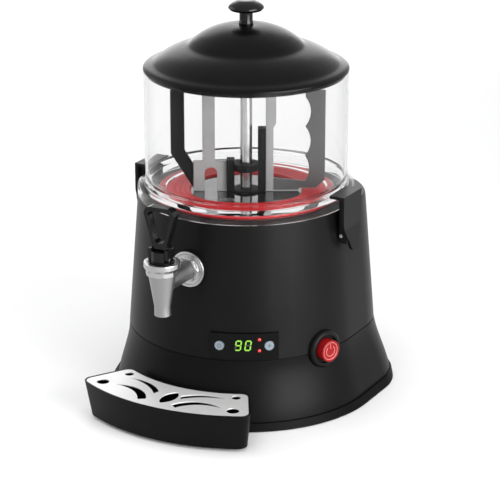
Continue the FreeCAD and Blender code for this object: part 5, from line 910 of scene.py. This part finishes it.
makeStage(stageValues)

# World: white to the camera, in gloss and through clear parts, and a plain ambient level otherwise.
worldValues = {"ambient": 0.52}


def makeWorld(v):
    world = bpy.data.worlds.new("studio")
    bpy.context.scene.world = world
    studio = Finish("studio", world)
    level = studio.mix(studio.seen(), grey(v["ambient"]), grey(1.0))
    background = studio.node("ShaderNodeBackground", None, {"Color": level, "Strength": 1.0})
    studio.node("ShaderNodeOutputWorld", None, {"Surface": background})


makeWorld(worldValues)

# Soft lamps: size in metres, power in watts, place in metres. Each looks at the middle of the object.
# One without spread shows in gloss alone.
lampPlan = {
    "rightSheen": {"size": 1.6, "power": 46, "place": (1.6, -0.4, 0.6), "gloss": True, "spread": False},
    "overhead": {"size": 1.6, "power": 19, "place": (-0.1, -0.2, 1.9), "gloss": False},
    "rightSoft": {"size": 1.1, "power": 36, "place": (1.6, -0.6, 0.55), "gloss": True},
    "leftSoft": {"size": 1.3, "power": 8, "place": (-1.55, -0.4, 0.7), "gloss": True},
    "frontSoft": {"size": 1.4, "power": 12, "place": (0.5, -1.9, 1.1), "gloss": False},
    "backSoft": {"size": 1.6, "power": 14, "place": (-1.0, 1.7, 0.9), "gloss": True},
}
lampAim = (0, 0, 0.2)
for name, plan in lampPlan.items():
    light = bpy.data.lights.new(name, "AREA")
    light.shape = "SQUARE"
    light.size = plan["size"]
    light.energy = plan["power"]
    lamp = bpy.data.objects.new(name, light)
    bpy.context.scene.collection.objects.link(lamp)
    lamp.location = plan["place"]
    lamp.rotation_euler = (Vector(lampAim) - Vector(plan["place"])).to_track_quat("-Z", "Y").to_euler()
    lamp.visible_camera = False
    lamp.visible_glossy = plan["gloss"]
    lamp.visible_diffuse = plan.get("spread", True)
    lamp.visible_transmission = False

# Camera: turned to the right of the front and raised, far back with a long lens.
cameraValues = {"azimuth": 29, "elevation": 19.6, "distance": 2475, "aim": 162, "aside": 4.42, "lens": 151.99,
                "sensor": 36, "clip": (0.05, 50)}


def makeCamera(v):
    azimuth, elevation = math.radians(v["azimuth"]), math.radians(v["elevation"])
    back = Vector((math.sin(azimuth) * math.cos(elevation), -math.cos(azimuth) * math.cos(elevation),
                   math.sin(elevation)))
    target = Vector((math.cos(azimuth), math.sin(azimuth), 0)) * v["aside"] * mm + Vector((0, 0, v["aim"] * mm))
    data = bpy.data.cameras.new("camera")
    data.lens, data.sensor_width = v["lens"], v["sensor"]
    data.clip_start, data.clip_end = v["clip"]
    camera = bpy.data.objects.new("camera", data)
    bpy.context.scene.collection.objects.link(camera)
    camera.location = target + back * v["distance"] * mm
    camera.rotation_euler = (-back).to_track_quat("-Z", "Y").to_euler()
    bpy.context.scene.camera = camera


makeCamera(cameraValues)
bpy.context.scene.view_settings.view_transform = "Standard"
print("stage, lights and camera")
